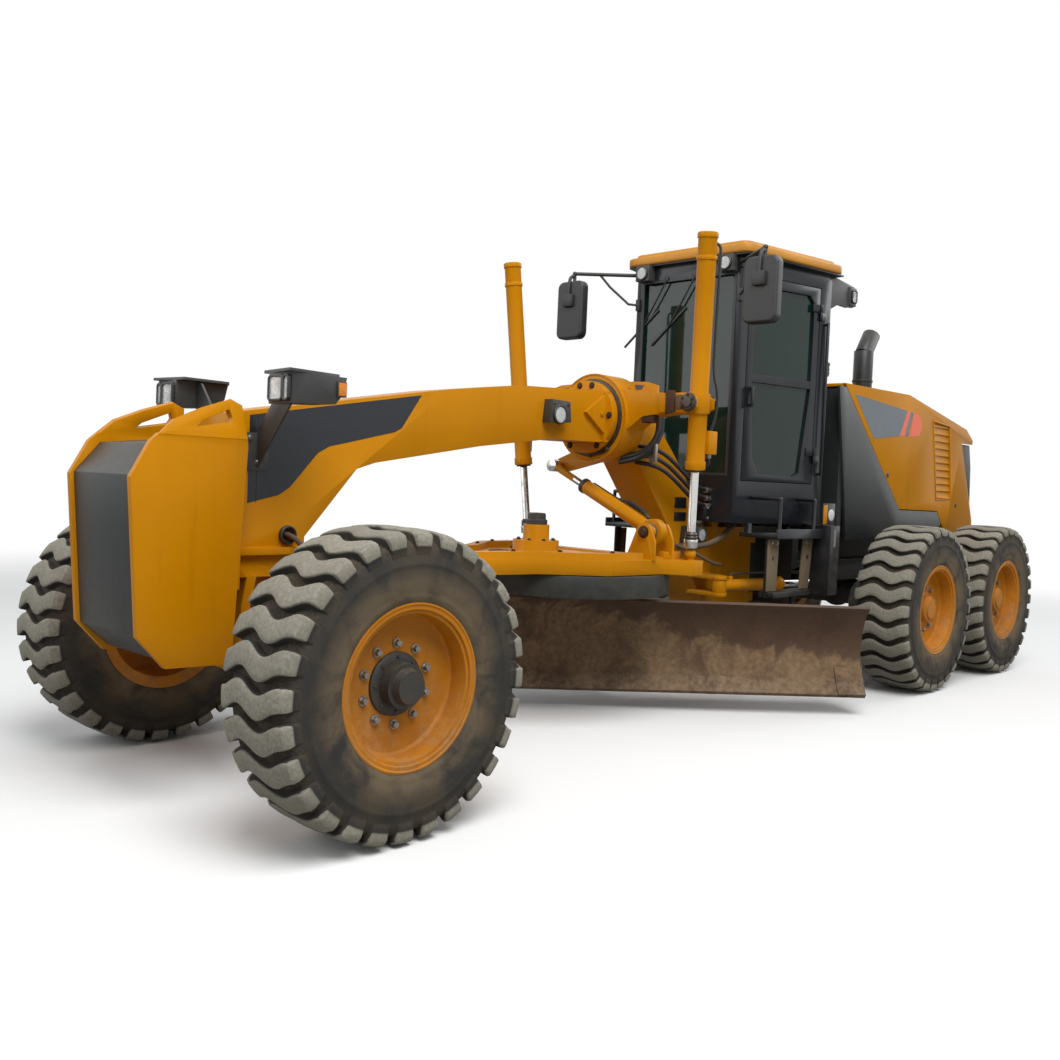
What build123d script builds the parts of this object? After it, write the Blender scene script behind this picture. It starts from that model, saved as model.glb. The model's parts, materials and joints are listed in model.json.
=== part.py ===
from build123d import *
import math
import os

# An articulated motor grader: a six-wheel road machine that carries a long blade under an arched boom.
# Millimetres. +X is forward, +Y is the machine's left, +Z is up. The origin is on the floor under the
# middle of the machine, but every length x below is counted from the front axle, at FRONT_AXLE_X.

# Wheels and axles
FRONT_AXLE_X = 3512.0
WHEEL_BASE = 6270.0
TANDEM_PITCH = 1540.0
TRACK = 2155.0
TYRE_RADIUS = 674.0
TYRE_HALF_WIDTH = 218.0
LUG_COUNT = 28
LUG_FOOT_RADIUS = 635.0
LUG_FOOT_HALF = 58.0
LUG_TOP_HALF = 46.0
LUG_SWEEP = 22.0
SHOULDER_DROP = 38.0
SHOULDER_FOOT_DROP = 50.0
BORE_SIDES = 24
BEAD_RADIUS = 317.5
RIM_BARREL = 14.0
RIM_HALF_WIDTH = 178.0
FLANGE_RADIUS = 366.0
FLANGE_THICK = 26.0
DISC_OFFSET = 80.0
DISC_THICK = 18.0
HUB_RADIUS = 138.0
HUB_DEPTH = 30.0
STUD_CIRCLE = 170.0
STUD_COUNT = 10
STUD_RADIUS = 13.0
SEAT_GAP = 0.3
PIN_GAP = 0.05
ROD_GAP = 0.8
RUNNING_GAP = 6.0

# Front axle
AXLE_HALF_DEPTH = 70.0
BOSS_RADIUS = 68.0
LEAN_Y = 745.0
LEAN_Z = 600.0
LEAN_BAR_Z = 830.0
EAR_THICK = 34.0
KINGPIN_Y = 925.0
KINGPIN_RADIUS = 24.0
KING_HOUSING_RADIUS = 58.0
KING_HALF_HEIGHT = 118.0
CHEEK = 30.0
STEER_ARM_X = 210.0
STEER_ARM_Y = 838.0

# Boom and front frame
BOOM_HALF_WIDTH = 160.0
NOSE_INNER = 292.0
NOSE_THICK = 34.0
NOSE_BEND_Z = 1705.0
NOSE_BEND = 13.5
LAMP_HOOD_Z = 2008.0
BOOM_FRONT_X = 250.0
BOOM_END_X = -2530.0
SADDLE_FRONT_X = -2570.0
SADDLE_BACK_X = -2790.0
SADDLE_Z = 2020.0
NECK_RADIUS = 205.0
SADDLE_RADIUS = 300.0
SADDLE_PLATE = 45.0
FRAME_BACK_X = -4430.0
FRAME_BOX_TOP = 1280.0
FRAME_BOX_BOTTOM = 640.0
PIVOT_X = -4550.0
PIVOT_PIN_RADIUS = 45.0
PIVOT_EAR_RADIUS = 110.0
PIVOT_EAR_THICK = 70.0

# Drawbar, circle and blade
BALL_X = -430.0
BALL_Z = 900.0
BALL_RADIUS = 62.0
BALL_PIN_RADIUS = 30.0
BALL_TRUNNION_RADIUS = 26.0
CIRCLE_X = -2400.0
CIRCLE_RADIUS = 680.0
CIRCLE_INNER_RADIUS = 560.0
CIRCLE_BOTTOM = 862.0
CIRCLE_TOP = 1000.0
DRAWBAR_TOP = 1100.0
DRAWBAR_RAIL = 42.0
LIFT_BALL = (-2760.0, 735.0, 1140.0)
LIFT_BALL_RADIUS = 38.0
BLADE_ANGLE = 48.0
BLADE_LENGTH = 3660.0
BLADE_SHIFT = 348.0
BLADE_EDGE_X = -142.0
BLADE_BOTTOM = 150.0
BLADE_HEIGHT = 620.0
BLADE_RADIUS = 430.0
BLADE_THICK = 22.0
EDGE_THICK = 10.0
EDGE_SHARE = -0.64
END_BIT_LENGTH = 200.0
END_BIT_THICK = 16.0
END_BIT_SHARE = -0.36
RAIL_THICK = 26.0
RAIL_DEPTH = 76.0
RAIL_GRIP = 36.0
RAIL_ROWS = (360.0, 560.0)
CARRIER_Y = 430.0
CARRIER_THICK = 36.0
ARM_THICK = 48.0
PITCH_PIN_RADIUS = 26.0
PITCH_X = -470.0
PITCH_Z = 330.0

# Cylinders
LIFT_TOP = (-2600.0, 862.0, 3170.0)
TRUNNION_Z = 2110.0
LIFT_GLAND_Z = 1690.0
LIFT_BARREL_RADIUS = 60.0
LIFT_ROD_RADIUS = 27.0
LIFT_ROD_LENGTH = 1500.0
LIFT_SEAT_GAP = 6.0
SWING_BASE = (-2590.0, 560.0, 1275.0)
SWING_EYE = (-2670.0, -420.0, 1690.0)
SWING_BALL_RADIUS = 52.0
SWING_PIN_RADIUS = 20.0
SWING_SOCKET_RADIUS = 62.0
SWING_EYE_RADIUS = 84.0
SWING_EYE_HALF = 32.0
SWING_CHEEK_GAP = 88.0
SWING_CHEEK = 20.0
SWING_BARREL_RADIUS = 48.0
SWING_BARREL_LENGTH = 722.0
SWING_ROD_RADIUS = 24.0
SWING_ROD_START = 400.0
STEER_BASE = (-3640.0, 395.0, 860.0)
STEER_EYE = (-4800.0, 560.0, 860.0)
STEER_BARREL_RADIUS = 58.0
STEER_BARREL_LENGTH = 700.0
STEER_ROD_RADIUS = 28.0
STEER_ROD_START = 450.0

# Cab
CAB_FRONT_X = -3620.0
CAB_BACK_X = -4570.0
CAB_FRONT_HALF = 480.0
CAB_BACK_HALF = 680.0
CAB_BOTTOM = 1330.0
CAB_SILL = 1640.0
CAB_TOP = 3280.0
HEADER_DEPTH = 130.0
ROOF_DEPTH = 95.0
ROOF_LID = 30.0
CAB_WALL = 60.0
DOOR_START = 75.0
DOOR_END = 850.0
DOOR_THICK = 46.0
DOOR_GAP = 6.0
DOOR_BORDER = 62.0
DOOR_LOWER = 760.0
HINGE_OUT = 14.0
MIRROR_X = -3290.0
MIRROR_Y = 856.0
MIRROR_DROP = 65.0
PLATFORM_DROP = 98.0
HANDLE_Z = 2180.0
MIRROR_TUBE = 14.0

# Rear frame and hood
HOOD_HALF_WIDTH = 670.0
HOOD_WALL = 24.0
RAIL_Y = 330.0
RAIL_HALF_WIDTH = 55.0
RAIL_BOTTOM = 830.0
RAIL_TOP = 1010.0
TANDEM_Y = 690.0
TANDEM_HALF_WIDTH = 110.0
ENGINE_TOP = 1950.0
LOUVRE_COUNT = 11
LOUVRE_DEPTH = 14.0
SLAT_COUNT = 11
STACK = (-5940.0, 300.0, 85.0)
AIR_STEM = (-5450.0, 60.0, 62.0)

PARTS = "parts"
SIDES = (("left", 1), ("right", -1))
MID_X = -(WHEEL_BASE - TANDEM_PITCH / 2)
REAR_X = -(WHEEL_BASE + TANDEM_PITCH / 2)
CAB_HEAD = CAB_TOP - HEADER_DEPTH
ROOF_TOP = CAB_TOP + ROOF_DEPTH
DOOR_RAIL_Z = CAB_SILL + DOOR_LOWER
MIRROR_BEND = (MIRROR_X, MIRROR_Y, CAB_TOP - MIRROR_DROP)
HINGE_ROWS = (CAB_SILL + 160, CAB_HEAD - 250)


def slab(x, y, z):
    """A box between two corners, each given as a pair of limits."""
    return Pos((x[0] + x[1]) / 2, (y[0] + y[1]) / 2, (z[0] + z[1]) / 2) * Box(
        abs(x[1] - x[0]), abs(y[1] - y[0]), abs(z[1] - z[0])
    )


def side_plate(points, low, high):
    """A side outline of (x, z) points, given its width from y = low to y = high."""
    plane = Plane(origin=(0, high, 0), x_dir=(1, 0, 0), z_dir=(0, -1, 0))
    return extrude(plane * make_face(Polyline(*points, close=True)), high - low)


def cross_plate(points, low, high):
    """A cross outline of (y, z) points, given its depth from x = low to x = high."""
    plane = Plane(origin=(low, 0, 0), x_dir=(0, 1, 0), z_dir=(1, 0, 0))
    return extrude(plane * make_face(Polyline(*points, close=True)), high - low)


def floor_plate(points, low, high):
    """A plan outline of (x, y) points, given its height from z = low to z = high."""
    return extrude(Plane.XY.offset(low) * make_face(Polyline(*points, close=True)), high - low)


def folded(points, thick):
    """The outline of a sheet folded along a path: the path itself and its copy on the left."""
    inner = []
    for i, (x, z) in enumerate(points):
        before = points[max(i - 1, 0)]
        after = points[min(i + 1, len(points) - 1)]
        into = (x - before[0], z - before[1]) if i else (after[0] - x, after[1] - z)
        out = (after[0] - x, after[1] - z) if i < len(points) - 1 else into
        a, b = math.hypot(*into), math.hypot(*out)
        n = (-into[1] / a - out[1] / b, into[0] / a + out[0] / b)
        scale = 2 * thick / (n[0] ** 2 + n[1] ** 2)
        inner.append((x + n[0] * scale, z + n[1] * scale))
    return list(points) + inner[::-1]


def rod(start, end, radius):
    """A round bar between two points."""
    start, end = Vector(*start), Vector(*end)
    return extrude(Plane(origin=start, z_dir=end - start) * Circle(radius), (end - start).length)


def along(start, end, distance):
    """The point at a distance from the first point on the way to the second."""
    start, end = Vector(*start), Vector(*end)
    return tuple(start + (end - start).normalized() * distance)


def turned(profile):
    """A closed (radius, y) profile turned about the Y axis."""
    return revolve(make_face(Polyline(*profile, close=True)), Axis.Y, 360)


def mirrored(shape):
    """The same piece on the machine's other side."""
    return mirror(shape, about=Plane.XZ)


def both(shape):
    """A left piece together with its copy on the right."""
    return shape + mirrored(shape)


def sided(shape, side):
    """A left piece, or its copy on the right where side is -1."""
    return shape if side > 0 else mirrored(shape)


def facet(*points):
    """A flat face between three or more points."""
    return Face(Wire.make_polygon(points, close=True))


def lug_ring(y, foot_drop, top_drop, sweep):
    """The tread's outline at a width: each lug has two points on its foot and two on its top."""
    foot, top = LUG_FOOT_HALF / LUG_FOOT_RADIUS, LUG_TOP_HALF / TYRE_RADIUS
    low, high = LUG_FOOT_RADIUS - foot_drop, (TYRE_RADIUS - top_drop) / math.cos(top)
    ring = []
    for i in range(LUG_COUNT):
        middle = 2 * math.pi * i / LUG_COUNT + sweep / TYRE_RADIUS
        for turn, radius in ((-foot, low), (-top, high), (top, high), (foot, low)):
            a = middle + turn
            ring.append(Vector(radius * math.cos(a), y, radius * math.sin(a)))
    return ring


def bore_ring(y, radius):
    """A many-sided ring about the Y axis, with its flats at a radius."""
    corner = radius / math.cos(math.pi / BORE_SIDES)
    turns = [2 * math.pi * i / BORE_SIDES for i in range(BORE_SIDES)]
    return [Vector(corner * math.cos(a), y, corner * math.sin(a)) for a in turns]


def lug_band(first, second):
    """The triangles of the tread between two outlines."""
    faces = []
    for i, point in enumerate(first):
        j = (i + 1) % len(first)
        faces.append(facet(point, first[j], second[j]))
        faces.append(facet(point, second[j], second[i]))
    return faces


def bore_band(first, second):
    """The flat faces between two rings of the bore."""
    faces = []
    for i, point in enumerate(first):
        j = (i + 1) % len(first)
        faces.append(facet(point, first[j], second[j], second[i]))
    return faces


def tyre():
    """A wide tyre about the Y axis. Its lugs sweep across the tread and drop at the shoulders."""
    wall = RIM_HALF_WIDTH - SEAT_GAP
    middle = lug_ring(0, 0, 0, 0)
    seats = {}
    faces = []
    for side in (-1, 1):
        y = side * TYRE_HALF_WIDTH
        shoulder = lug_ring(y, SHOULDER_FOOT_DROP, SHOULDER_DROP, side * LUG_SWEEP)
        mouth = bore_ring(y, FLANGE_RADIUS + 8)
        rest = bore_ring(side * wall, FLANGE_RADIUS + 5)
        seats[side] = bore_ring(side * wall, BEAD_RADIUS + SEAT_GAP)
        faces += lug_band(middle, shoulder) + bore_band(mouth, rest) + bore_band(rest, seats[side])
        edge, hole = Wire.make_polygon(shoulder, close=True), Wire.make_polygon(mouth, close=True)
        faces.append(Face(edge, [hole]))
    faces += bore_band(seats[-1], seats[1])
    return Solid(Shell(faces))


def rim(cap_radius, cap_length):
    """A steel rim with its dished disc, studs and hub. Its outer side is +Y."""
    inner = BEAD_RADIUS - RIM_BARREL
    edge = RIM_HALF_WIDTH + FLANGE_THICK
    barrel = turned(
        [
            (inner, -edge),
            (FLANGE_RADIUS, -edge),
            (FLANGE_RADIUS, -RIM_HALF_WIDTH),
            (BEAD_RADIUS, -RIM_HALF_WIDTH),
            (BEAD_RADIUS, RIM_HALF_WIDTH),
            (FLANGE_RADIUS, RIM_HALF_WIDTH),
            (FLANGE_RADIUS, edge),
            (FLANGE_RADIUS - 14, edge),
            (FLANGE_RADIUS - 20, edge - 11),
            (BEAD_RADIUS + 10, edge - 11),
            (BEAD_RADIUS + 4, edge - 2),
            (inner + 4, edge - 2),
            (inner + 4, edge - 30),
            (inner, edge - 34),
        ]
    )
    back = DISC_OFFSET - DISC_THICK
    disc = turned(
        [
            (0, back - HUB_DEPTH),
            (HUB_RADIUS - 20, back - HUB_DEPTH),
            (HUB_RADIUS - 20, back),
            (inner + 2, back),
            (inner + 2, DISC_OFFSET),
            (HUB_RADIUS, DISC_OFFSET),
            (HUB_RADIUS - 6, DISC_OFFSET + 16),
            (cap_radius + 14, DISC_OFFSET + 16),
            (cap_radius + 14, DISC_OFFSET + 34),
            (cap_radius, DISC_OFFSET + 34),
            (cap_radius - 8, DISC_OFFSET + cap_length),
            (0, DISC_OFFSET + cap_length),
        ]
    )
    wheel = barrel + disc
    for i in range(STUD_COUNT):
        a = math.radians(360 * (i + 0.5) / STUD_COUNT)
        x, z = STUD_CIRCLE * math.cos(a), STUD_CIRCLE * math.sin(a)
        wheel += rod((x, DISC_OFFSET - 1, z), (x, DISC_OFFSET + 24, z), STUD_RADIUS)
    return wheel


def at_wheel(shape, x, side):
    """Puts a wheel piece, whose outer side is +Y, at its place on the machine."""
    return Pos(x, side * TRACK / 2, TYRE_RADIUS) * sided(shape, side)


def hub_face():
    """How far out a wheel's hub seats on what carries it."""
    return TRACK / 2 + DISC_OFFSET - DISC_THICK - HUB_DEPTH - SEAT_GAP


def front_axle():
    """The arched beam between the two lean pivots, held by its middle pin."""
    half = [
        (0, 745),
        (150, 745),
        (LEAN_Y - 150, LEAN_Z + 68),
        (LEAN_Y, LEAN_Z + 60),
        (LEAN_Y, LEAN_Z - 45),
        (LEAN_Y - 120, LEAN_Z - 40),
        (150, 540),
        (0, 540),
    ]
    outline = half + [(-y, z) for y, z in reversed(half[1:-1])]
    beam = cross_plate(outline, -AXLE_HALF_DEPTH, AXLE_HALF_DEPTH)
    beam += rod((-132, 0, 640), (132, 0, 640), 46)
    boss = rod((-AXLE_HALF_DEPTH, LEAN_Y, LEAN_Z), (AXLE_HALF_DEPTH, LEAN_Y, LEAN_Z), BOSS_RADIUS)
    pin = rod((-118, LEAN_Y, LEAN_Z), (118, LEAN_Y, LEAN_Z), 28)
    return beam + both(boss + pin)


def lean_bracket():
    """The left fork that leans on the axle's end and holds the kingpin."""
    inner = AXLE_HALF_DEPTH + RUNNING_GAP
    outer = inner + EAR_THICK
    base = TYRE_RADIUS - KING_HALF_HEIGHT
    top = TYRE_RADIUS + KING_HALF_HEIGHT
    ear = [
        (LEAN_Y - 58, LEAN_Z - 38),
        (LEAN_Y, LEAN_Z - 40),
        (KINGPIN_Y - 10, base + 4),
        (KINGPIN_Y - 10, top - 4),
        (LEAN_Y + 50, LEAN_BAR_Z + 40),
        (LEAN_Y - 45, LEAN_BAR_Z + 40),
        (LEAN_Y - 58, LEAN_Z + 60),
    ]
    bracket = cross_plate(ear, inner, outer) + cross_plate(ear, -outer, -inner)
    bracket += slab((-outer, outer), (LEAN_Y + 80, KINGPIN_Y - 25), (TYRE_RADIUS - 60, TYRE_RADIUS + 90))
    bracket += rod((0, KINGPIN_Y, base), (0, KINGPIN_Y, top), KING_HOUSING_RADIUS)
    bracket -= rod((0, KINGPIN_Y, 0), (0, KINGPIN_Y, 2000), KINGPIN_RADIUS + PIN_GAP)
    bracket -= rod((-200, LEAN_Y, LEAN_Z), (200, LEAN_Y, LEAN_Z), 28 + PIN_GAP)
    for x in (outer, -outer):
        bracket += rod((x, LEAN_Y, LEAN_BAR_Z), (x * 1.12, LEAN_Y, LEAN_BAR_Z), 22)
    return bracket


def lean_bar():
    """The bar over the axle that makes both front wheels lean together."""
    half_depth = AXLE_HALF_DEPTH + RUNNING_GAP - SEAT_GAP
    bar = rod((0, -LEAN_Y, LEAN_BAR_Z), (0, LEAN_Y, LEAN_BAR_Z), 32)
    return bar + both(rod((-half_depth, LEAN_Y, LEAN_BAR_Z), (half_depth, LEAN_Y, LEAN_BAR_Z), 36))


def knuckle():
    """The left steering knuckle: a fork round the kingpin housing, its spindle and its steering arm."""
    low = TYRE_RADIUS - KING_HALF_HEIGHT - RUNNING_GAP
    high = TYRE_RADIUS + KING_HALF_HEIGHT + RUNNING_GAP
    back = KINGPIN_Y + KING_HOUSING_RADIUS + RUNNING_GAP + 2
    fork = rod((0, KINGPIN_Y, low - CHEEK), (0, KINGPIN_Y, high + CHEEK), KINGPIN_RADIUS)
    for base in (low - CHEEK, high):
        fork += rod((0, KINGPIN_Y, base), (0, KINGPIN_Y, base + CHEEK), 52)
        fork += slab((-52, 52), (KINGPIN_Y, back + 30), (base, base + CHEEK))
    fork += slab((-60, 60), (back, back + 34), (low - CHEEK, high + CHEEK))
    fork += rod((0, back + 30, TYRE_RADIUS), (0, hub_face(), TYRE_RADIUS), 62)
    arm = [
        (45, KINGPIN_Y - 45),
        (45, KINGPIN_Y + 40),
        (-45, KINGPIN_Y + 40),
        (-STEER_ARM_X - 28, STEER_ARM_Y + 28),
        (-STEER_ARM_X - 28, STEER_ARM_Y - 28),
        (-STEER_ARM_X + 28, STEER_ARM_Y - 28),
    ]
    return fork + floor_plate(arm, low - CHEEK - 26, low - CHEEK)


def front_frame():
    """The boom, the neck for the saddle, the raked leg and the box that ends at the articulation."""
    boom = [
        (BOOM_FRONT_X, 1040),
        (BOOM_FRONT_X, 1828),
        (-300, 1925),
        (-1130, 2070),
        (-1700, 2150),
        (BOOM_END_X, 2190),
        (BOOM_END_X, 1850),
        (-2017, 1842),
        (-1385, 1760),
        (-930, 1682),
        (-620, 1628),
        (-500, 1590),
        (-190, 1235),
        (-190, 1040),
    ]
    leg = [
        (SADDLE_BACK_X - 15, 2200),
        (-2990, 2120),
        (-3330, 1800),
        (CAB_FRONT_X + 8, 1500),
        (CAB_FRONT_X + 8, 1318),
        (-3800, FRAME_BOX_TOP),
        (FRAME_BACK_X, FRAME_BOX_TOP),
        (FRAME_BACK_X, FRAME_BOX_BOTTOM),
        (-3840, FRAME_BOX_BOTTOM),
        (-3790, 706),
        (-3406, 1155),
        (SADDLE_BACK_X - 15, 1850),
    ]
    frame = side_plate(boom, -BOOM_HALF_WIDTH, BOOM_HALF_WIDTH)
    frame += side_plate(leg, -BOOM_HALF_WIDTH, BOOM_HALF_WIDTH)
    frame += slab((-190, BOOM_FRONT_X), (-200, 200), (1150, 1185))
    frame += rod((BOOM_END_X - 20, 0, SADDLE_Z), (BOOM_END_X + 34, 0, SADDLE_Z), 245)
    gusset = side_plate([(-2300, 2036), (-2500, 2172), (-2500, 1900)], BOOM_HALF_WIDTH - 5, BOOM_HALF_WIDTH + 28)
    frame += both(gusset + slab((BOOM_END_X, BOOM_END_X + 44), (BOOM_HALF_WIDTH - 5, 192), (1852, 2188)))
    frame += rod((BOOM_END_X, 0, SADDLE_Z), (SADDLE_BACK_X - 20, 0, SADDLE_Z), NECK_RADIUS)
    for y in (BOOM_HALF_WIDTH, -BOOM_HALF_WIDTH):
        frame += rod((-83, y * 0.9, 1245), (-83, y * 1.08, 1245), 46)
        frame -= rod((-83, y * 0.6, 1245), (-83, y * 1.1, 1245), 32)
    for x in (-3900, -4380):
        frame += both(slab((x - 40, x + 40), (80, BOOM_HALF_WIDTH), (FRAME_BOX_TOP - 5, CAB_BOTTOM)))
    frame += bolster() + articulation_tongues() + both(steer_clevis())
    return frame


def bolster():
    """The plates under the boom that hold the axle's middle pin and the drawbar's ball pin."""
    plate = [(-120, 575), (120, 575), (120, 900), (165, 1045), (-165, 1045), (-120, 900)]
    pieces = cross_plate(plate, 80, 130) + cross_plate(plate, -130, -80)
    pieces -= rod((-140, 0, 640), (140, 0, 640), 46 + PIN_GAP)
    for low in (740, 1010):
        lug = slab((BALL_X, -125), (-52, 52), (low, low + 50))
        lug += rod((BALL_X, 0, low), (BALL_X, 0, low + 50), 58)
        pieces += lug - rod((BALL_X, 0, low - 5), (BALL_X, 0, low + 55), BALL_PIN_RADIUS + PIN_GAP)
    return pieces + slab((-190, -125), (-52, 52), (740, 1060))


def articulation_tongues():
    """The two tongues at the back of the front frame, bored for the articulation pin."""
    tongues = None
    for z in (FRAME_BOX_TOP - 60 - PIVOT_EAR_THICK, FRAME_BOX_BOTTOM + 30):
        top = z + PIVOT_EAR_THICK
        plan = [(FRAME_BACK_X + 20, -140), (FRAME_BACK_X + 20, 140), (PIVOT_X, 110), (PIVOT_X, -110)]
        tongue = floor_plate(plan, z, top) + rod((PIVOT_X, 0, z), (PIVOT_X, 0, top), PIVOT_EAR_RADIUS)
        tongue -= rod((PIVOT_X, 0, z - 5), (PIVOT_X, 0, top + 5), PIVOT_PIN_RADIUS + PIN_GAP)
        tongues = tongue if tongues is None else tongues + tongue
    return tongues


def steer_clevis():
    """The left plates and pin that hold an articulation cylinder's base."""
    x, y, z = STEER_BASE
    plates = rod((x, y, z - 74), (x, y, z + 74), 22)
    for low in (z + 48, z - 74):
        plan = [(x - 190, 150), (x + 60, 150), (x + 55, y), (x - 55, y + 30)]
        plates += floor_plate(plan, low, low + 26) + rod((x, y, low), (x, y, low + 26), 58)
    return plates


def nose_plates():
    """The two side plates of the front bumper, bent inwards at the top, and the box behind them."""
    lower = [
        (674, NOSE_BEND_Z),
        (715, 1668),
        (800, 1510),
        (750, 815),
        (616, 667),
        (294, 658),
        (244, 1660),
        (248, NOSE_BEND_Z),
    ]
    upper = [
        (248, NOSE_BEND_Z - 6),
        (262, 1862),
        (320, 1888),
        (467, 1836),
        (601, 1775),
        (680, NOSE_BEND_Z - 6),
    ]
    slot = [(500, 1745), (470, 1775), (330, 1838), (318, 1802), (330, 1778)]
    outer = NOSE_INNER + NOSE_THICK
    flap = side_plate(upper, NOSE_INNER, outer) - side_plate(slot, NOSE_INNER - 5, outer + 5)
    crease = Pos(0, outer, NOSE_BEND_Z)
    plate = side_plate(lower, NOSE_INNER, outer) + crease * Rot(NOSE_BEND, 0, 0) * crease.inverse() * flap
    return both(plate) + slab((BOOM_FRONT_X, 300), (-NOSE_INNER - 8, NOSE_INNER + 8), (1000, 1700))


def nose_panel():
    """The dark sheet between the nose plates, folded at its top and its bottom."""
    path = [(304, 690), (600, 690), (735, 812), (785, 1520), (665, 1662), (304, 1700)]
    return side_plate(folded(path, 14), -291.5, 291.5)


def work_lamps():
    """The hooded front lamps on raked arms, the boom's and the leg's lamps and the cab's lamps."""
    side = BOOM_HALF_WIDTH
    arm = [(side, 1560), (side, 1742), (400, LAMP_HOOD_Z), (470, LAMP_HOOD_Z), (455, 1890)]
    lamps = cross_plate(arm, 92, 104) + slab((40, 160), (side, side + 10), (1560, 1742))
    hood = [(-95, 455), (-60, 395), (205, 375), (240, 640), (-55, 600)]
    lamps += floor_plate(hood, LAMP_HOOD_Z, LAMP_HOOD_Z + 14)
    housing = [(217, 1866), (217, LAMP_HOOD_Z), (-80, LAMP_HOOD_Z), (-62, 1930), (-20, 1880)]
    lamps += side_plate(housing, 440, 625) + slab((-70, -20), (600, 640), (1915, 1985))
    lamps += side_plate([(-2100, 1950), (-2085, 2080), (-1925, 2085), (-1910, 1940)], side, side + 75)
    lamps += side_plate([(-3650, 1165), (-3650, 1290), (-3455, 1290), (-3440, 1165)], side, side + 90)
    low, high = CAB_HEAD + 4, CAB_TOP - 8
    lamps += slab((CAB_FRONT_X, CAB_FRONT_X + 84), (315, 440), (low, high))
    plate = [(0, high), (-390, high - 30), (-390, low - 75), (-130, low - 90), (0, low - 150)]
    back = [(CAB_BACK_X + x, z) for x, z in plate]
    lamps += side_plate(back, CAB_BACK_HALF - 40, CAB_BACK_HALF - 10)
    lamps += slab((CAB_BACK_X - 400, CAB_BACK_X - 300), (CAB_BACK_HALF - 90, CAB_BACK_HALF + 6), (low - 68, high - 42))
    return both(lamps)


def trunnion_x():
    """Where a lift cylinder's axis crosses the height of its trunnion, along the machine."""
    return lift_point(TRUNNION_Z)[0]


def lift_point(z):
    """The point at a height on the left lift cylinder's axis."""
    share = (z - LIFT_BALL[2]) / (LIFT_TOP[2] - LIFT_BALL[2])
    return tuple(a + (b - a) * share for a, b in zip(LIFT_BALL, LIFT_TOP))


def saddle():
    """The ring round the boom's neck, its two lift forks and the low arm for the swing cylinder."""
    centre = (SADDLE_FRONT_X + SADDLE_BACK_X) / 2
    ring = rod((SADDLE_FRONT_X, 0, SADDLE_Z), (SADDLE_BACK_X, 0, SADDLE_Z), SADDLE_RADIUS)
    x, y, z = lift_point(TRUNNION_Z)
    arm = [(150, 2236), (330, 2196), (640, 2172), (640, 2050), (420, 2028), (200, 1880)]
    arms = cross_plate(arm, centre - 85, centre + 85)
    arms += cross_plate([(240, 2268), (262, 2208), (470, 2184), (470, 2236), (380, 2262)], centre - 14, centre + 14)
    fork = [(560, 2172), (800, 2172), (850, 2140), (850, 2080), (800, 2050), (560, 2050)]
    for low in (x + 80, x - 108):
        arms += cross_plate(fork, low, low + 28)
    ring += both(arms)
    ex, ey, ez = SWING_EYE
    low_arm = [(-60, 1725), (-200, 1810), (-260, 1810), (ey - 30, ez + 50), (ey - 50, ez), (ey, ez - 50)]
    ring += cross_plate(low_arm, SADDLE_BACK_X, SADDLE_BACK_X + SADDLE_PLATE)
    ring += rod((SADDLE_BACK_X + 10, ey, ez), (SADDLE_BACK_X + 62, ey, ez), 28)
    ring -= rod((SADDLE_FRONT_X + 5, 0, SADDLE_Z), (SADDLE_BACK_X - 5, 0, SADDLE_Z), NECK_RADIUS + SEAT_GAP)
    return ring - both(rod((x - 200, y, z), (x + 200, y, z), 24 + PIN_GAP))


def lift_barrel():
    """The left lift cylinder's barrel with its trunnion block and pins."""
    x, y, z = lift_point(TRUNNION_Z)
    barrel = rod(lift_point(LIFT_GLAND_Z), LIFT_TOP, LIFT_BARREL_RADIUS)
    barrel += rod(lift_point(TRUNNION_Z - 62), lift_point(TRUNNION_Z + 62), LIFT_BARREL_RADIUS + 13)
    barrel += rod((x - 116, y, z), (x + 116, y, z), 24)
    for low, high in ((LIFT_GLAND_Z, LIFT_GLAND_Z + 52), (LIFT_TOP[2] - 34, LIFT_TOP[2] - 4)):
        barrel += rod(lift_point(low), lift_point(high), LIFT_BARREL_RADIUS + 6)
    bore_end = lift_point(LIFT_TOP[2] - 30)
    return barrel - rod(lift_point(LIFT_GLAND_Z - 2), bore_end, LIFT_ROD_RADIUS + ROD_GAP)


def lift_rod():
    """The left lift cylinder's rod, with the cap over the drawbar's ball."""
    seat = along(LIFT_BALL, LIFT_TOP, LIFT_BALL_RADIUS + LIFT_SEAT_GAP)
    cap = along(LIFT_BALL, LIFT_TOP, LIFT_BALL_RADIUS + LIFT_SEAT_GAP + 55)
    return rod(seat, along(LIFT_BALL, LIFT_TOP, LIFT_ROD_LENGTH), LIFT_ROD_RADIUS) + rod(seat, cap, 46)


def drawbar_ball():
    """The ball, its upright pin and its cross pin, which hold the drawbar to the boom."""
    ball = Pos(BALL_X, 0, BALL_Z) * Sphere(BALL_RADIUS)
    ball += rod((BALL_X, 0, 735), (BALL_X, 0, 1065), BALL_PIN_RADIUS)
    return ball + rod((BALL_X, -106, BALL_Z), (BALL_X, 106, BALL_Z), BALL_TRUNNION_RADIUS)


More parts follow.
